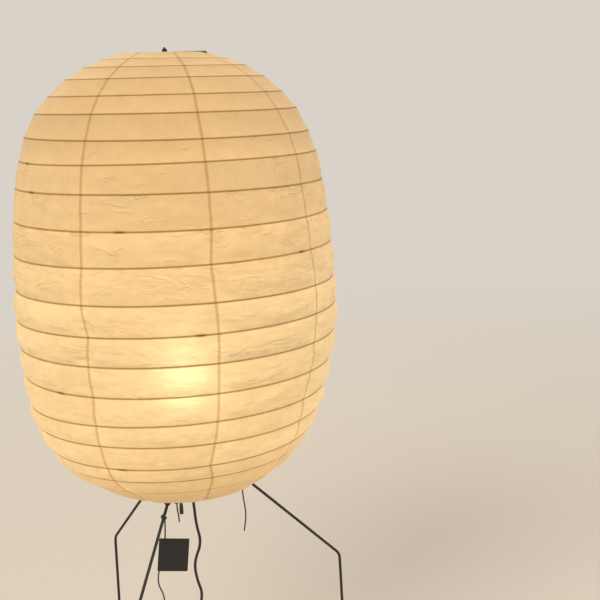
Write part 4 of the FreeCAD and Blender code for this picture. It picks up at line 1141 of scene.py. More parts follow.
        # painted shadows of the nearer hoop and of its bound ends, seen through the paper
        rib_shadow, splice_shadow = self.hoop_marks(band - 1 if upper else band, azimuth, gap)
        tint = (math.sin(gore * 2.1 + band * 1.3) * 0.5 + 0.5) * 0.6 + 0.4 * share
        # painted shade just under each hoop and over the swell and creases of the lower bands
        zone = 0.15 + 0.85 * smooth(band, 6, 12)
        under = math.exp(-(share_up * 3.2) ** 2) * smooth(share_up, 0.0, 0.04)
        slack_shade = zone * (0.6 * swell + 0.8 * under) * (0.85 + 0.7 * creased)
        return point, (rib_shadow, self.seam_mark(share, math.hypot(point.x, point.y)), splice_shadow, tint, slack_shade)

    def splice_azimuth(self, hoop: int) -> float:
        """Azimuth where a hoop's two ends overlap; those not seen in front are at the back."""
        return self.splices.get(hoop, (20.0 + 47.0 * hoop) % 150.0)

    def notches(self, points: np.ndarray) -> np.ndarray:
        """Faces of the hems cut away for the bar's hooks and the ties.

        Args:
            points: the lattice's points in metres.

        Returns:
            True for each face left out.
        """
        after = np.roll(points, -1, axis=1)
        centres = (points[:-1] + points[1:] + after[:-1] + after[1:]) / 4
        radius = np.hypot(centres[..., 0], centres[..., 1])
        azimuth = np.degrees(np.arctan2(centres[..., 1], centres[..., 0]))
        gone = np.zeros(radius.shape, bool)
        for ring, places, half in ((self.top_ring_mm, self.hooks, self.notch_mm[0]),
                                   (self.bottom_ring_mm, self.strings, self.notch_mm[1])):
            near = ((np.abs(radius - ring[0] * MM) < self.hem_reach_mm[0] * MM)
                    & (np.abs(centres[..., 2] - ring[1] * MM) < self.hem_reach_mm[1] * MM))
            for place in places:
                away = np.abs((azimuth - place + 180.0) % 360.0 - 180.0)
                gone |= near & (np.radians(away) * radius < half * MM)
        return gone

    def build_hoop(self, hoop: int) -> None:
        """One bamboo strip with its ends lapped side by side and bound with thread.

        Args:
            hoop: its number from the top, from 0.
        """
        start = self.splice_azimuth(hoop)
        lap = math.degrees(self.lap_mm / self.hoops_mm[hoop][0])
        thick, inside = self.hoop_mm, self.inside_mm
        path, steps = [], 104
        for i in range(steps + 1):
            turn = -lap / 2 + (360.0 + lap) * i / steps
            step_in = inside + thick / 2 + thick * smooth(turn, 352.0 - lap, 360.0 - lap / 2)
            path.append(self.hoop_point(hoop, start + turn, step_in) * MM)
        strip = tube(f"hoop_strip_{hoop + 1:02d}", path, thick * MM / 2, 8)
        windings, steps = [], 60
        for i in range(steps + 1):
            turn = (i / steps - 0.5) * 0.62 * lap
            swing = TAU * 9 * i / steps
            out = polar(1.0, start + turn, 0.0) * (math.cos(swing) * (thick + 0.25) * 0.93)
            rise = UP * (math.sin(swing) * (thick / 2 + 0.35))
            windings.append((self.hoop_point(hoop, start + turn, inside + thick) + out + rise) * MM)
        thread = tube(f"thread_{hoop + 1:02d}", windings, 0.4 * MM, 5)
        for piece, finish in ((strip, BAMBOO), (thread, HEMP)):
            piece.data.materials.append(material_of(finish))
        install(joined(f"bamboo_hoop_{hoop + 1:02d}", [strip, thread]), BAMBOO, "bamboo",
                nodes=[f"hoop_{hoop + 1:02d}"])

    def build_rings(self) -> None:
        """The two steel wire rings, each butted and welded."""
        for node, ring in (("top_ring", self.top_ring_mm), ("bottom_ring", self.bottom_ring_mm)):
            path = [polar(ring[0], 360.0 * i / 120, ring[1]) * MM for i in range(120)]
            wire = tube(node + "_wire", path, ring[2] * MM / 2, 12, closed=True)
            install(wire, POWDER_STEEL, "black_steel", nodes=[node])

    def build(self) -> None:
        """Paper, hoops and rings."""
        install(self.build_paper(), PAPER, "washi_paper", nodes=["paper_shade"])
        for hoop in range(len(self.hoops_mm)):
            self.build_hoop(hoop)
        self.build_rings()


# ---------------------------------------------------------------- the stand


@dataclass
class RodStand:
    """Three bent steel rods in a turned hub, on rubber feet."""

    azimuths: tuple[float, ...] = (-15.0, 105.0, 225.0)
    meet_mm: float = 574.0         # height where the three upper runs meet
    start_mm: float = 13.85        # from there to a rod's end, along the rod
    knee_mm: float = 262.0
    bend_mm: float = 22.0
    foot_mm: float = 268.0
    rod_mm: float = 5.0
    under_mm: float = 3.0          # rubber left under a rod's end
    cap_mm: tuple[float, float] = (5.0, 15.0)      # radius and height of a foot

    def corners(self, azimuth: float) -> list[Vector]:
        """Centre line of a leg before it is bent.

        Args:
            azimuth: the way that it stands out, in degrees.

        Returns:
            Its start, knee and foot in millimetres.
        """
        meet = Vector((0.0, 0.0, self.meet_mm))
        start = meet + polar(math.sqrt(0.5), azimuth, -math.sqrt(0.5)) * self.start_mm
        knee = polar(self.knee_mm, azimuth, self.meet_mm - self.knee_mm)
        foot = polar(self.foot_mm, azimuth, 0.0)
        return [start, knee, foot + (knee - foot).normalized() * self.under_mm]

    def build_leg(self, name: str, azimuth: float) -> None:
        """One rod and its foot cap."""
        path = rounded_path([point * MM for point in self.corners(azimuth)], self.bend_mm * MM)
        rod = tube(f"rod_{name}", path, self.rod_mm * MM / 2, 16)
        install(rod, POWDER_STEEL, "black_steel", nodes=["leg_" + name])

    def build_feet(self) -> None:
        """Three turned rubber caps with a lip and a tread."""
        radius, height = self.cap_mm
        rod, waist = self.rod_mm / 2, radius - 0.4
        profile = [(0.6 * radius, 1.2), (0.72 * radius, 0.0), (radius - 0.9, 0.0), (radius, 0.9),
                   (radius, 0.5 * height), (waist, 0.52 * height), (waist, 0.6 * height),
                   (radius, 0.62 * height), (radius, height - 3.0), (waist, height - 1.2),
                   (radius - 1.2, height), (rod + 0.3, height), (rod + 0.2, height - 2.0)]
        caps = [turned(f"cap_{i}", profile, 32, polar(self.foot_mm * MM, azimuth, 0.0))
                for i, azimuth in enumerate(self.azimuths)]
        install(joined("rubber_feet", caps), RUBBER, "black_rubber", nodes=["foot_caps"])

    def build(self) -> None:
        """Legs and feet, and the finishes of the hub, stem and screws."""
        for name, azimuth in zip("abc", self.azimuths):
            self.build_leg(name, azimuth)
        self.build_feet()
        dress(["hub", "stem_tube", "stem_nut"], POWDER_STEEL, 0.3)
        dress(["grub_screws"], ZINC)


@dataclass
class Harp:
    """Wire harp that stands in a saddle and carries the shade's top ring by a bar."""

    azimuth: float = -50.0
    rod_mm: float = 4.0
    half_mm: float = 38.0          # half width beside the bulb
    low_mm: float = 577.1          # height of its ends
    straight_mm: float = 149.9     # upright stretch beside the bulb
    curve_mm: float = 150.0        # radius of the gentle bend over that stretch
    shoulder_mm: float = 18.0      # half width under the boss
    top_mm: float = 1212.05
    bend_mm: float = 8.0           # radius of the two bends at the top

    def place(self, x: float, z: float) -> Vector:
        """Point in the harp's plane, in metres."""
        return polar(x, self.azimuth, z) * MM

    def build_wire(self) -> None:
        """One rod up each side, gently bent in and over the top."""
        sides = [[self.place(side * self.half_mm, self.low_mm),
                  self.place(side * self.half_mm, self.low_mm + self.straight_mm),
                  self.place(side * self.shoulder_mm, self.top_mm)] for side in (1, -1)]
        rises = [rounded_path(side, self.curve_mm * MM)[:-1] for side in sides]
        over = rounded_path([sides[0][1], sides[0][2], sides[1][2], sides[1][1]], self.bend_mm * MM)[1:-1]
        wire = tube("harp_rod", rises[0] + over + rises[1][::-1], self.rod_mm * MM / 2, 12)
        install(wire, POWDER_STEEL, "black_steel", nodes=["harp_wire"])

    def build(self) -> None:
        """The wire, and the finishes of the saddle, boss, bar and finial."""
        self.build_wire()
        dress(["harp_saddle", "harp_boss", "top_bar"], POWDER_STEEL, 0.25)
        dress(["finial_nut"], POWDER_STEEL, 0.2)


# ---------------------------------------------------------------- lampholder and bulb


@dataclass
class Lampholder:
    """Phenolic lampholder with a pull switch, and an opal bulb."""

    bulb_bottom_mm: float = 600.3
    bulb_mm: tuple[float, float, float] = (27.5, 98.0, 12.7)     # ball radius, length and neck radius
    cap_mm: float = 26.0
    pull: tuple[float, float] = (27.0, 205.0)                    # radius in mm and azimuth
    knob_mm: tuple[float, float] = (3.5, 22.0)                   # radius and length

    def build_bulb(self) -> None:
        """Smooth pear-shaped envelope."""
        ball, length, neck = self.bulb_mm
        centre = self.bulb_bottom_mm + length - ball
        foot = self.bulb_bottom_mm + self.cap_mm
        profile = [(0.2, centre + ball)]
        for i in range(1, 25):
            angle = math.radians(90.0 - 118.0 * i / 24)
            profile.append((ball * math.cos(angle), centre + ball * math.sin(angle)))
        waist = profile[-1]
        for i in range(1, 9):
            part = i / 8
            blend = 1 - (1 - part) ** 1.7
            profile.append((waist[0] + (neck - waist[0]) * blend,
                            waist[1] + (foot + 5.0 - waist[1]) * part))
        profile.append((neck, foot - 9.0))
        glass = turned("opal_globe", profile[::-1], 56)
        install(glass, OPAL, "bulb_glass", Body.BULB, ["bulb_glass"])

    def build_knob(self) -> None:
        """Small turned knob on the pull wire."""
        radius, length = self.knob_mm
        groove = radius - 0.35
        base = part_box("pull_knob")[0].z * 1000
        rows = [(0.3, 0.0), (radius - 1.0, 0.0), (radius - 0.3, 0.25), (radius, 1.0),
                (radius, 0.36 * length), (groove, 0.38 * length), (groove, 0.42 * length),
                (radius, 0.44 * length), (radius, 0.6 * length), (0.86 * radius, 0.75 * length),
                (0.66 * radius, 0.9 * length), (0.55 * radius, 0.985 * length), (0.45 * radius, length),
                (0.82, length)]
        centre = polar(*self.pull, 0.0) * MM
        knob = turned("pull_pendant", [(r, base + z) for r, z in rows], 28, centre)
        install(knob, PHENOLIC, "black_phenolic", Body.PULL, ["pull_knob"])

    def build(self) -> None:
        """Bulb and knob, and the finishes of the holder's own parts."""
        self.build_bulb()
        self.build_knob()
        dress(["holder_cap", "holder_shell"], PHENOLIC, 0.3)
        dress(["switch_block", "holder_insert"], CERAMIC, 0.2)
        dress(["screw_sleeve", "centre_contact", "switch_lever", "pull_wire", "bulb_contact"], BRASS)
        dress(["bulb_cap"], ALUMINIUM)


# ---------------------------------------------------------------- strings and tag


def cord_curve(name: str, route_mm: Sequence[tuple[float, float, float]],
               diameter_mm: float) -> bpy.types.Object:
    """Cord as one NURBS spline through its route's control points.

    Args:
        name: the piece's name.
        route_mm: control points in millimetres.
        diameter_mm: the cord's diameter.

    Returns:
        The curve object.
    """
    curve = bpy.data.curves.new(name, "CURVE")
    curve.dimensions = "3D"
    spline = curve.splines.new("NURBS")
    spline.points.add(len(route_mm) - 1)
    for knot, place in zip(spline.points, route_mm):
        knot.co = (place[0] * MM, place[1] * MM, place[2] * MM, 1.0)
    spline.order_u = 3
    spline.use_endpoint_u = True
    spline.resolution_u = 8
    curve.bevel_depth = diameter_mm * MM / 2
    curve.bevel_resolution = 4
    curve.use_fill_caps = True
    piece = bpy.data.objects.new(name, curve)
    bpy.context.collection.objects.link(piece)
    return piece


@dataclass
class TiedStrings:
    """Strings that tie the bottom ring to the legs, and the square tag on its own string."""

    ring_mm: tuple[float, float] = (97.0, 483.08)      # radius and height
    ring_wire_mm: float = 3.0
    rod_mm: float = 5.0
    string_mm: float = 2.5
    drawn: tuple[float, float, float] = (0.86, 0.92, 0.9)   # thinned in a knot, a turn and a lashing
    azimuths: tuple[float, ...] = (-15.0, 105.0, 225.0)
    ring_hitch: float = 235.0       # azimuth of the hitch on the ring that leg c's end hangs from
    tail_a: tuple[tuple[float, float, float], ...] = (
        (86.4, -23.1, 472.8), (86.6, -22.2, 448.0), (89.6, -24.4, 424.0), (90.4, -23.6, 402.0),
        (86.0, -22.4, 380.0))
    tail_c: tuple[tuple[float, float, float], ...] = (
        (-55.6, -79.5, 478.2), (-55.6, -79.5, 468.0), (-53.9, -80.0, 458.5), (-53.3, -79.2, 446.5))
    tag_string: tuple[tuple[float, float, float], ...] = (
        (-77.8, -77.8, 455.8), (-77.8, -77.8, 432.0), (-83.0, -75.9, 396.0), (-91.9, -72.7, 368.0),
        (-95.2, -71.5, 343.0), (-85.3, -75.0, 319.0), (-88.6, -73.8, 297.0), (-88.6, -73.8, 276.0))
    hitch: tuple[float, float, float] = (110.0, 225.0, 464.0)   # radius, azimuth and height on leg c
    tag_mm: tuple[float, float, float] = (50.0, 58.0, 2.0)      # width, height and thickness
    tag_corner_mm: float = 2.0
    tag_facing: float = 250.0       # azimuth that its front faces
    tag_left_mm: float = 14.5       # from its left edge to the string
    tag_top_mm: float = 422.0
    tag_lean: float = 6.5           # degrees, its right side down

    def knot(self, name: str, centre: Vector, size: float, axis: Vector) -> bpy.types.Object:
        """Overhand knot drawn tight, as a short closed trefoil of string.

        Args:
            name: the piece's name.
            centre: its middle, in millimetres.
            size: its outer radius, in millimetres.
            axis: the way that it is pulled.

        Returns:
            The knot.
        """
        turn = axis.rotation_difference(UP).inverted()
        reach = size / 4.1 * 0.75
        path = []
        for i in range(48):
            t = TAU * i / 48
            flat = Vector((math.sin(t) + 2 * math.sin(2 * t), math.cos(t) - 2 * math.cos(2 * t),
                           -math.sin(3 * t) * 1.25)) * reach
            path.append((centre + turn @ flat) * MM)
        return tube(name, path, self.string_mm * MM / 2 * self.drawn[0], 8, closed=True)

    def wrap(self, name: str, centre: Vector, axis: Vector, radius: float, turns: float,
             rise: float) -> bpy.types.Object:
        """Turns of string wound round an axis, lying beside each other.

        Args:
            name: the piece's name.
            centre: middle of the winding, in millimetres.
            axis: what it goes round.
            radius: radius of the string's centre line, in millimetres.
            turns: how many turns.
            rise: pitch in millimetres.

        Returns:
            The winding.
        """
        one = axis.orthogonal().normalized()
        other = axis.cross(one)
        steps = int(28 * turns)
        path = []
        for i in range(steps + 1):
            t = i / steps
            swing = TAU * turns * t
            out = (one * math.cos(swing) + other * math.sin(swing)) * radius
            path.append((centre + out + axis * ((t - 0.5) * turns * rise)) * MM)
        return tube(name, path, self.string_mm * MM / 2 * self.drawn[1], 8)

    def build_lashings(self) -> None:
        """Crossed turns and a knot where the ring lies on each leg, and a hitch on the ring beside leg c."""
        pieces = []
        slope = math.sqrt(0.5)
        stand_off = (self.rod_mm + self.ring_wire_mm) / 2 + 0.3
        for index, azimuth in enumerate(self.azimuths):
            ring = polar(self.ring_mm[0], azimuth, self.ring_mm[1])
            normal = polar(slope, azimuth, slope)
            down = polar(slope, azimuth, -slope)
            low = ring - normal * (stand_off + self.rod_mm / 2)
            high = ring + normal * (self.ring_wire_mm / 2)
            centre = (low + high) / 2
            half = (high - low).length / 2 + self.string_mm / 2 + 0.25
            sideways = polar(1.0, azimuth + 90.0, 0.0)
            for side in (-1, 1):
                axis = (down + sideways * side).normalized()
                pieces.append(self.oval_turns(f"lash_{index}_{side}", centre, normal, axis, half))
            at = centre - normal * (half + self.string_mm / 2 - 0.4)
            pieces.append(self.knot(f"lash_knot_{index}", at, 3.3, normal))
        point = polar(self.ring_mm[0], self.ring_hitch, self.ring_mm[1])
        along = polar(1.0, self.ring_hitch + 90.0, 0.0)
        pieces.append(self.wrap("ring_hitch", point, along, 3.2, 2.2, 2.3))
        install(joined("string_lashings", pieces), HEMP, "hemp_string", nodes=["ring_lashings"])

    def oval_turns(self, name: str, centre: Vector, normal: Vector, axis: Vector,
                   half: float) -> bpy.types.Object:
        """Two turns of string round both rods, square to an axis.

        Args:
            name: the piece's name.
            centre: middle of the crossing, in millimetres.
            normal: the way from leg to ring.
            axis: what the turns go round.
            half: reach of a turn along the normal, in millimetres.

        Returns:
            The turns.
        """
        across = axis.cross(normal).normalized()
        path, turns, steps = [], 2, 56
        for i in range(steps + 1):
            swing = TAU * turns * i / steps
            lift = (i / steps - 0.5) * turns * self.string_mm * 0.92
            point = centre + normal * (math.cos(swing) * half) + across * (math.sin(swing) * half * 0.86)
            path.append((point + axis * lift) * MM)
        return tube(name, path, self.string_mm * MM / 2 * self.drawn[2], 8)

    def tag_place(self, right: float, ahead: float, height: float) -> Vector:
        """Point by the tag in metres: to the right of its string, ahead of it, at a height."""
        point = (polar(self.hitch[0], self.hitch[1], 0.0) + polar(right, self.tag_facing + 90.0, 0.0)
                 + polar(ahead, self.tag_facing, height))
        return point * MM

    def tag_outline(self, inset: float, ahead: float) -> list[Vector]:
        """Rounded square round the tag's face.

        Args:
            inset: distance in from the tag's edge, in millimetres.
            ahead: distance ahead of the string, in millimetres.

        Returns:
            Points in metres.
        """
        width, height, _ = self.tag_mm
        middle = width / 2 - self.tag_left_mm
        centre = self.tag_top_mm - height / 2
        corner = max(self.tag_corner_mm - inset * 0.6, 0.5)
        half_width, half_height = width / 2 - inset - corner, height / 2 - inset - corner
        cosine, sine = math.cos(math.radians(self.tag_lean)), math.sin(math.radians(self.tag_lean))
        points = []
        for quarter, (side, end) in enumerate(((1, 1), (-1, 1), (-1, -1), (1, -1))):
            for i in range(6):
                angle = math.radians(90.0 * quarter + 18.0 * i)
                right = side * half_width + corner * math.cos(angle)
                above = end * half_height + corner * math.sin(angle)
                points.append(self.tag_place(middle + right * cosine + above * sine, ahead,
                                             centre + above * cosine - right * sine))
        return points

    def build_tag(self) -> bpy.types.Object:
        """Bare square tag with rounded corners, a raised edge and two clips on its back.

        Returns:
            The tag.
        """
        back = self.string_mm / 2 + 0.3
        front = back + self.tag_mm[2]
        steps = [(1.2, back), (0.3, back), (0.0, back + 0.3), (0.0, front - 0.3), (0.3, front),
                 (1.7, front), (2.0, front - 0.35), (12.0, front - 0.35)]
        rows = [self.tag_outline(inset, ahead) for inset, ahead in steps]
        plate = Lattice(np.array(rows), capped=True).build("tag_plate", 30.0)
        for finish in (CARD, CARD_EDGE):
            plate.data.materials.append(material_of(finish))
        # the sides, the bevels and the inner slope of the raised edge take the lighter grey edge finish
        edge_rows, per_row = (1, 2, 3, 5), len(rows[0])
        for face in plate.data.polygons:
            row = face.index // per_row
            face.material_index = int(row in edge_rows and row < len(rows) - 1)
        pieces = [plate]
        for index, (start, end) in enumerate(zip(self.tag_string[1:3], self.tag_string[2:4])):
            a, b = Vector(start), Vector(end)
            clip = self.wrap(f"clip_{index}", (a + b) / 2, (b - a).normalized(),
                             self.string_mm / 2 + 0.75, 2.0, 1.5)
            clip.data.materials.append(material_of(CARD))
            pieces.append(clip)
        return install(joined("square_plate", pieces), CARD, "black_phenolic", nodes=["square_tag"])

    def build_strings(self, plate: bpy.types.Object) -> None:
        """The tag's string, the two ends that hang free, and the knots.

        Args:
            plate: the tag that hangs on the string; not used.
        """
        end = Vector(self.tag_string[-1])
        knot = self.knot("end_knot", end - UP * 2.0, 3.0, UP)
        install(knot, HEMP, "hemp_string", nodes=["tag_knot"])
        for name, node, route, length, far in (
                ("string_end_a", "tail_a", self.tail_a, 0.093, "bare"),
                ("string_end_c", "tail_c", self.tail_c, 0.032, "bare"),
                ("tag_cord", "tag_string", self.tag_string, 0.183, "knot")):
            piece = cord_curve(name, route, self.string_mm)
            install(piece, HEMP, "hemp_string", nodes=[node])
        slope, azimuth = math.sqrt(0.5), self.hitch[1]
        down, normal = polar(slope, azimuth, -slope), polar(slope, azimuth, slope)
        hitch = polar(*self.hitch) + down * 4.35
        turns = self.wrap("hitch_turns", hitch, down, 4.1, 2.0, 2.3)
        tie = self.knot("hitch_knot", hitch - normal * 4.6, 3.1, normal)
        install(joined("tag_loop", [turns, tie]), HEMP, "hemp_string", nodes=["tag_hitch"])

    def build(self) -> None:
        """Lashings, tag and strings."""
        self.build_lashings()
        self.build_strings(self.build_tag())


# ---------------------------------------------------------------- mains cord


@dataclass
class MainsFlex:
    """Mains cord from the stem down to the floor, its put-away coil, tie and plug."""

    diameter_mm: float = 5.0
    length_m: float = 1.70
    drop_mm: tuple[tuple[float, float, float], ...] = (
        (0.0, 0.0, 498.0), (0.0, 0.0, 473.0), (2.5, -1.0, 441.0), (3.5, -4.0, 404.0), (11.5, -4.0, 369.0),
        (-2.5, 2.0, 333.0), (0.5, 1.0, 300.0), (9.0, -3.0, 271.0), (-1.0, 1.0, 238.0), (-3.0, 5.0, 200.0),
        (4.0, 9.0, 160.0), (7.0, 14.0, 118.0), (7.0, 22.0, 78.0), (9.0, 38.0, 44.0), (13.0, 60.0, 18.0),
        (17.0, 90.0, 4.6), (20.0, 120.0, 4.0), (20.0, 145.0, 4.0))
    coil_centre_mm: tuple[float, float] = (-17.5, 150.0)
    coil_outer_mm: float = 37.5     # radius of the outermost turn's centre line
    pitch_mm: float = 5.5           # from one turn to the next, and from one layer to the next
    turns: int = 6
    layer_mm: float = 4.0           # height of the lower layer's centre line
    per_turn: int = 24
    plug_start_mm: tuple[float, float, float] = (20.0, 172.0, 9.5)
    plug_mm: tuple[tuple[float, float, float, float], ...] = (  # distance, width, height, squareness
        (0.0, 6.2, 6.2, 2.0), (1.0, 7.0, 7.0, 2.0), (4.0, 7.6, 7.6, 2.0), (4.6, 6.8, 6.8, 2.0),
        (6.0, 6.9, 6.9, 2.0), (6.6, 8.4, 8.4, 2.0), (9.5, 9.6, 9.6, 2.2), (12.5, 14.5, 12.5, 2.6),
        (16.5, 20.5, 15.6, 3.2), (21.0, 23.6, 17.4, 3.8), (24.0, 24.0, 17.8, 4.2), (25.0, 23.0, 16.8, 4.2),
        (26.0, 23.0, 16.8, 4.2), (27.0, 24.0, 17.8, 4.2), (29.0, 24.0, 17.8, 4.2), (30.0, 23.0, 16.8, 4.2),
        (31.0, 23.0, 16.8, 4.2), (32.0, 24.0, 17.8, 4.2), (38.6, 24.0, 17.8, 4.4), (39.5, 23.5, 17.2, 4.4),
        (40.0, 22.6, 16.4, 4.4))
    relief_mm: tuple[tuple[float, float], ...] = (              # radius and height of its collar
        (6.6, 544.0), (7.0, 543.6), (7.0, 534.6), (6.5, 532.6), (5.6, 532.0))
    ribs: int = 6

    def coil_point(self, turn: float) -> tuple[float, float, float]:
        """Point of the coil, which winds in on its lower layer and out again on its upper one.

        Args:
            turn: turns from its start.

        Returns:
            The point in millimetres.
        """
        half = self.turns / 2
        inwards = turn if turn <= half else self.turns - turn
        climb = smooth((turn - half) / 0.5 + 0.5)
        point = polar(self.coil_outer_mm - self.pitch_mm * inwards, 360.0 * turn,
                      self.layer_mm + self.pitch_mm * climb)
        return point.x + self.coil_centre_mm[0], point.y + self.coil_centre_mm[1], point.z

    def route(self) -> list[tuple[float, float, float]]:
        """Control points of the whole cord, from the stem to inside the plug's sleeve."""
        coil = [self.coil_point(i / self.per_turn) for i in range(self.turns * self.per_turn + 1)]
        x, y, z = self.plug_start_mm
        return list(self.drop_mm) + coil + [(x, y - 9.0, z), (x, y + 1.0, z)]

    def build_relief(self) -> None:
        """Threaded collar drawn out to a ribbed, tapered sleeve."""
        profile = list(self.relief_mm)
        for i in range(self.ribs):
            high = 531.0 - i * 5.2
            radius = 5.4 - 1.7 * i / (self.ribs - 1)
            profile += [(radius, high), (radius - 0.1, high - 2.4), (radius - 0.75, high - 2.9),
                        (radius - 0.8, high - 4.2)]
        profile += [(3.5, 499.2), (3.2, 498.0), (2.55, 498.0), (2.55, 501.0)]
        sleeve = turned("ribbed_relief", profile, 36)
        install(sleeve, RUBBER, "black_steel", nodes=["cord_grip"])

    def build_plug(self) -> bpy.types.Object:
        """Moulded plug, lofted from the cord's sleeve to its flat body with finger grooves.

        Returns:
            The plug.
        """
        x, y, z = self.plug_start_mm
        rows = []
        for ahead, width, height, power in self.plug_mm:
            row = []
            for i in range(36):
                c, s = math.cos(TAU * i / 36), math.sin(TAU * i / 36)
                row.append(Vector((x + math.copysign(abs(c) ** (2 / power), c) * width / 2, y + ahead,
                                   z + math.copysign(abs(s) ** (2 / power), s) * height / 2)) * MM)
            rows.append(row)
        plug = Lattice(np.array(rows), capped=True).build("moulded_plug", 40.0)
        return install(plug, RUBBER, "black_flex", nodes=["plug_body"])

    def build_tie(self) -> bpy.types.Object:
        """Soft strip closed round the coil's turns, its end lapped over itself.

        Returns:
            The tie.
        """
        low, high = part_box("coil_tie")
        centre = (low + high) / 2
        margin = 0.6 * MM
        half_width = (high.x - low.x) / 2 - 2 * margin
        half_height = (high.z - low.z) / 2 - 2 * margin
        side = Vector((0.0, (high.y - low.y) / 2, 0.0))
        rows, steps, lapped = [], 60, 8
        for i in range(steps + lapped + 1):
            c, s = math.cos(TAU * i / steps), math.sin(TAU * i / steps)
            lap = 0.7 * MM * smooth(i, steps - 2, steps + 1)
            place = centre + Vector((math.copysign(abs(c) ** 0.5, c) * (half_width + lap * 0.6), 0.0,
                                     math.copysign(abs(s) ** 0.55, s) * (half_height + lap * 0.4)))
            out = Vector((c, 0.0, s)) * (0.45 * MM)
            rows.append([place + out + side, place + out - side, place - out - side, place - out + side])
        tie = Lattice(np.array(rows), capped=True).build("webbing_tie", 40.0)
        return install(tie, WEBBING, "black_flex", nodes=["coil_tie"])

    def build(self) -> None:
        """Cord, relief, plug and tie."""
        flex = cord_curve("mains_flex", self.route(), self.diameter_mm)
        install(flex, FLEX, "black_flex", nodes=["mains_cord", "mains_coil"])
        self.build_relief()
        plug = self.build_plug()
        tie = self.build_tie()
        dress(["plug_blades"], BRASS, 0.15)


# ---------------------------------------------------------------- studio


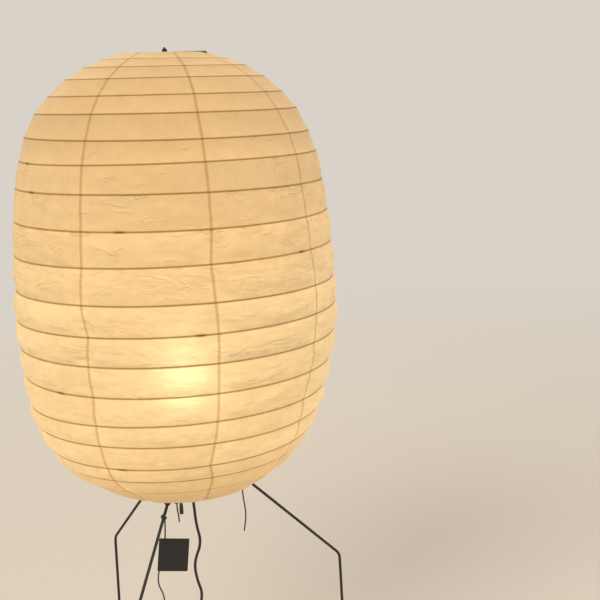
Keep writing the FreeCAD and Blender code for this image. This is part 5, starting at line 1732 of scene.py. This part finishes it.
@dataclass
class Studio:
    """Pale floor and backdrop, soft lamps, and the camera at the photograph's place."""

    backdrop: str = "#d8d2c8"
    floor: str = "#d6d0c6"
    floor_rings: tuple[float, ...] = (0.0005, 0.4, 1.0, 2.0, 3.5, 6.0, 9.0, 13.0)   # radii in metres
    fade: tuple[float, float] = (0.9, 5.5)      # metres over which the floor takes the backdrop's colour
    camera_at: tuple[float, float, float] = (-0.683, -1.887, 1.175)
    yaw: float = 58.3002
    pitch: float = -10.797
    roll: float = -1.2635
    lens_mm: float = 70.14
    shift: tuple[float, float] = (-0.2, 0.0)
    sky: str = "#fff6ea"
    sky_light: float = 0.5
    lamps: tuple[tuple[str, tuple[float, float, float], float, float, str], ...] = (
        ("key", (-4.6, -3.0, 4.8), 3.4, 270.0, "#fff4e4"),
        ("fill", (4.4, -3.4, 3.4), 3.4, 110.0, "#fff8f0"),
        ("back", (1.4, 5.0, 4.4), 3.0, 110.0, "#fff4e6"))
    aim: tuple[float, float, float] = (0.0, 0.0, 0.75)          # middle of the shade

    def looked_at(self, tree: bpy.types.NodeTree) -> bpy.types.NodeSocket:
        """Tell where a camera, a mirror or glass looks from where only light falls.

        Args:
            tree: a material's or the world's node tree.

        Returns:
            1 for the rays of a camera, a mirror or glass and 0 for the light's own, as a socket.
        """
        path = add_node(tree, "LightPath")
        seen = path.outputs["Is Camera Ray"]
        for ray in ("Is Glossy Ray", "Is Transmission Ray"):
            seen = add_node(tree, "Math", {0: seen, 1: path.outputs[ray]}, operation="MAXIMUM").outputs[0]
        return seen

    def build_floor(self) -> None:
        """Floor that fades into the backdrop's colour far from the lamp and keeps its shadow near it."""
        rows = [[polar(radius, 360.0 * j / 96, 0.0) for j in range(96)] for radius in self.floor_rings]
        floor = Lattice(np.array(rows)).build("studio_floor")
        material = bpy.data.materials.new("plain_floor")
        material.use_nodes = True
        tree = material.node_tree
        tree.nodes.clear()
        place = add_node(tree, "TexCoord").outputs["Object"]
        distance = add_node(tree, "VectorMath", {0: place}, operation="LENGTH").outputs["Value"]
        far = add_node(tree, "MapRange", {0: distance, 1: self.fade[0], 2: self.fade[1]},
                       interpolation_type="SMOOTHSTEP").outputs[0]
        matte = add_node(tree, "BsdfPrincipled", {"Base Color": linear(self.floor), "Roughness": 0.85})
        glow = add_node(tree, "Emission", {"Color": linear(self.backdrop), "Strength": 1.0})
        share = add_node(tree, "Math", {0: far, 1: self.looked_at(tree)}, operation="MULTIPLY").outputs[0]
        mixed = add_node(tree, "MixShader", {0: share, 1: matte.outputs[0], 2: glow.outputs[0]})
        add_node(tree, "OutputMaterial", {"Surface": mixed.outputs[0]})
        floor.data.materials.append(material)

    def build_world(self) -> None:
        """Even light, with the backdrop's colour where a camera, a mirror or glass looks."""
        world = bpy.data.worlds.new("studio")
        bpy.context.scene.world = world
        world.use_nodes = True
        tree = world.node_tree
        tree.nodes.clear()
        soft = add_node(tree, "Background", {"Color": linear(self.sky), "Strength": self.sky_light})
        shown = add_node(tree, "Background", {"Color": linear(self.backdrop), "Strength": 1.0})
        looked_at = self.looked_at(tree)
        mixed = add_node(tree, "MixShader", {0: looked_at, 1: soft.outputs[0], 2: shown.outputs[0]})
        add_node(tree, "OutputWorld", {"Surface": mixed.outputs[0]})

    def build_lamp(self, name: str, place: tuple[float, float, float], size: float, power: float,
                   colour: str) -> None:
        """Soft square lamp that looks at the shade's middle.

        Args:
            name: its name.
            place: where it stands, in metres.
            size: its side in metres.
            power: in watts.
            colour: sRGB hex value.
        """
        data = bpy.data.lights.new(name, "AREA")
        data.shape = "SQUARE"
        data.size = size
        data.energy = power
        data.color = linear(colour)[:3]
        lamp = bpy.data.objects.new(name, data)
        lamp.location = place
        ahead = Vector(self.aim) - Vector(place)
        lamp.rotation_euler = ahead.to_track_quat("-Z", "Y").to_euler()
        bpy.context.collection.objects.link(lamp)

    def build_camera(self) -> None:
        """Camera from its place, yaw, pitch and roll."""
        yaw, pitch, roll = (math.radians(angle) for angle in (self.yaw, self.pitch, self.roll))
        ahead = Vector((math.cos(yaw) * math.cos(pitch), math.sin(yaw) * math.cos(pitch), math.sin(pitch)))
        right = Vector((math.sin(yaw), -math.cos(yaw), 0.0))
        above = right.cross(ahead)
        x_axis = right * math.cos(roll) + above * math.sin(roll)
        y_axis = above * math.cos(roll) - right * math.sin(roll)
        turn = Matrix((x_axis, y_axis, -ahead)).transposed()
        data = bpy.data.cameras.new("photo_camera")
        data.lens = self.lens_mm
        data.sensor_width = 36.0
        data.shift_x, data.shift_y = self.shift
        data.clip_end = 60.0
        camera = bpy.data.objects.new("photo_camera", data)
        camera.matrix_world = Matrix.Translation(Vector(self.camera_at)) @ turn.to_4x4()
        bpy.context.collection.objects.link(camera)
        bpy.context.scene.camera = camera

    def build(self) -> None:
        """Camera, floor, world and lamps."""
        self.build_camera()
        self.build_floor()
        self.build_world()
        for lamp in self.lamps:
            self.build_lamp(*lamp)
        bpy.context.scene.view_settings.view_transform = "Standard"


def main() -> None:
    """Build the studio and every sub-assembly."""
    logging.basicConfig(level=logging.INFO, format="%(name)s: %(message)s")
    for assembly in (Studio(), MainsFlex(), TiedStrings(), RodStand(), Harp(), Lampholder(), PaperShade()):
        log.info("building %s", type(assembly).__name__)
        assembly.build()
    bpy.context.view_layer.update()


if __name__ == "__main__":
    main()
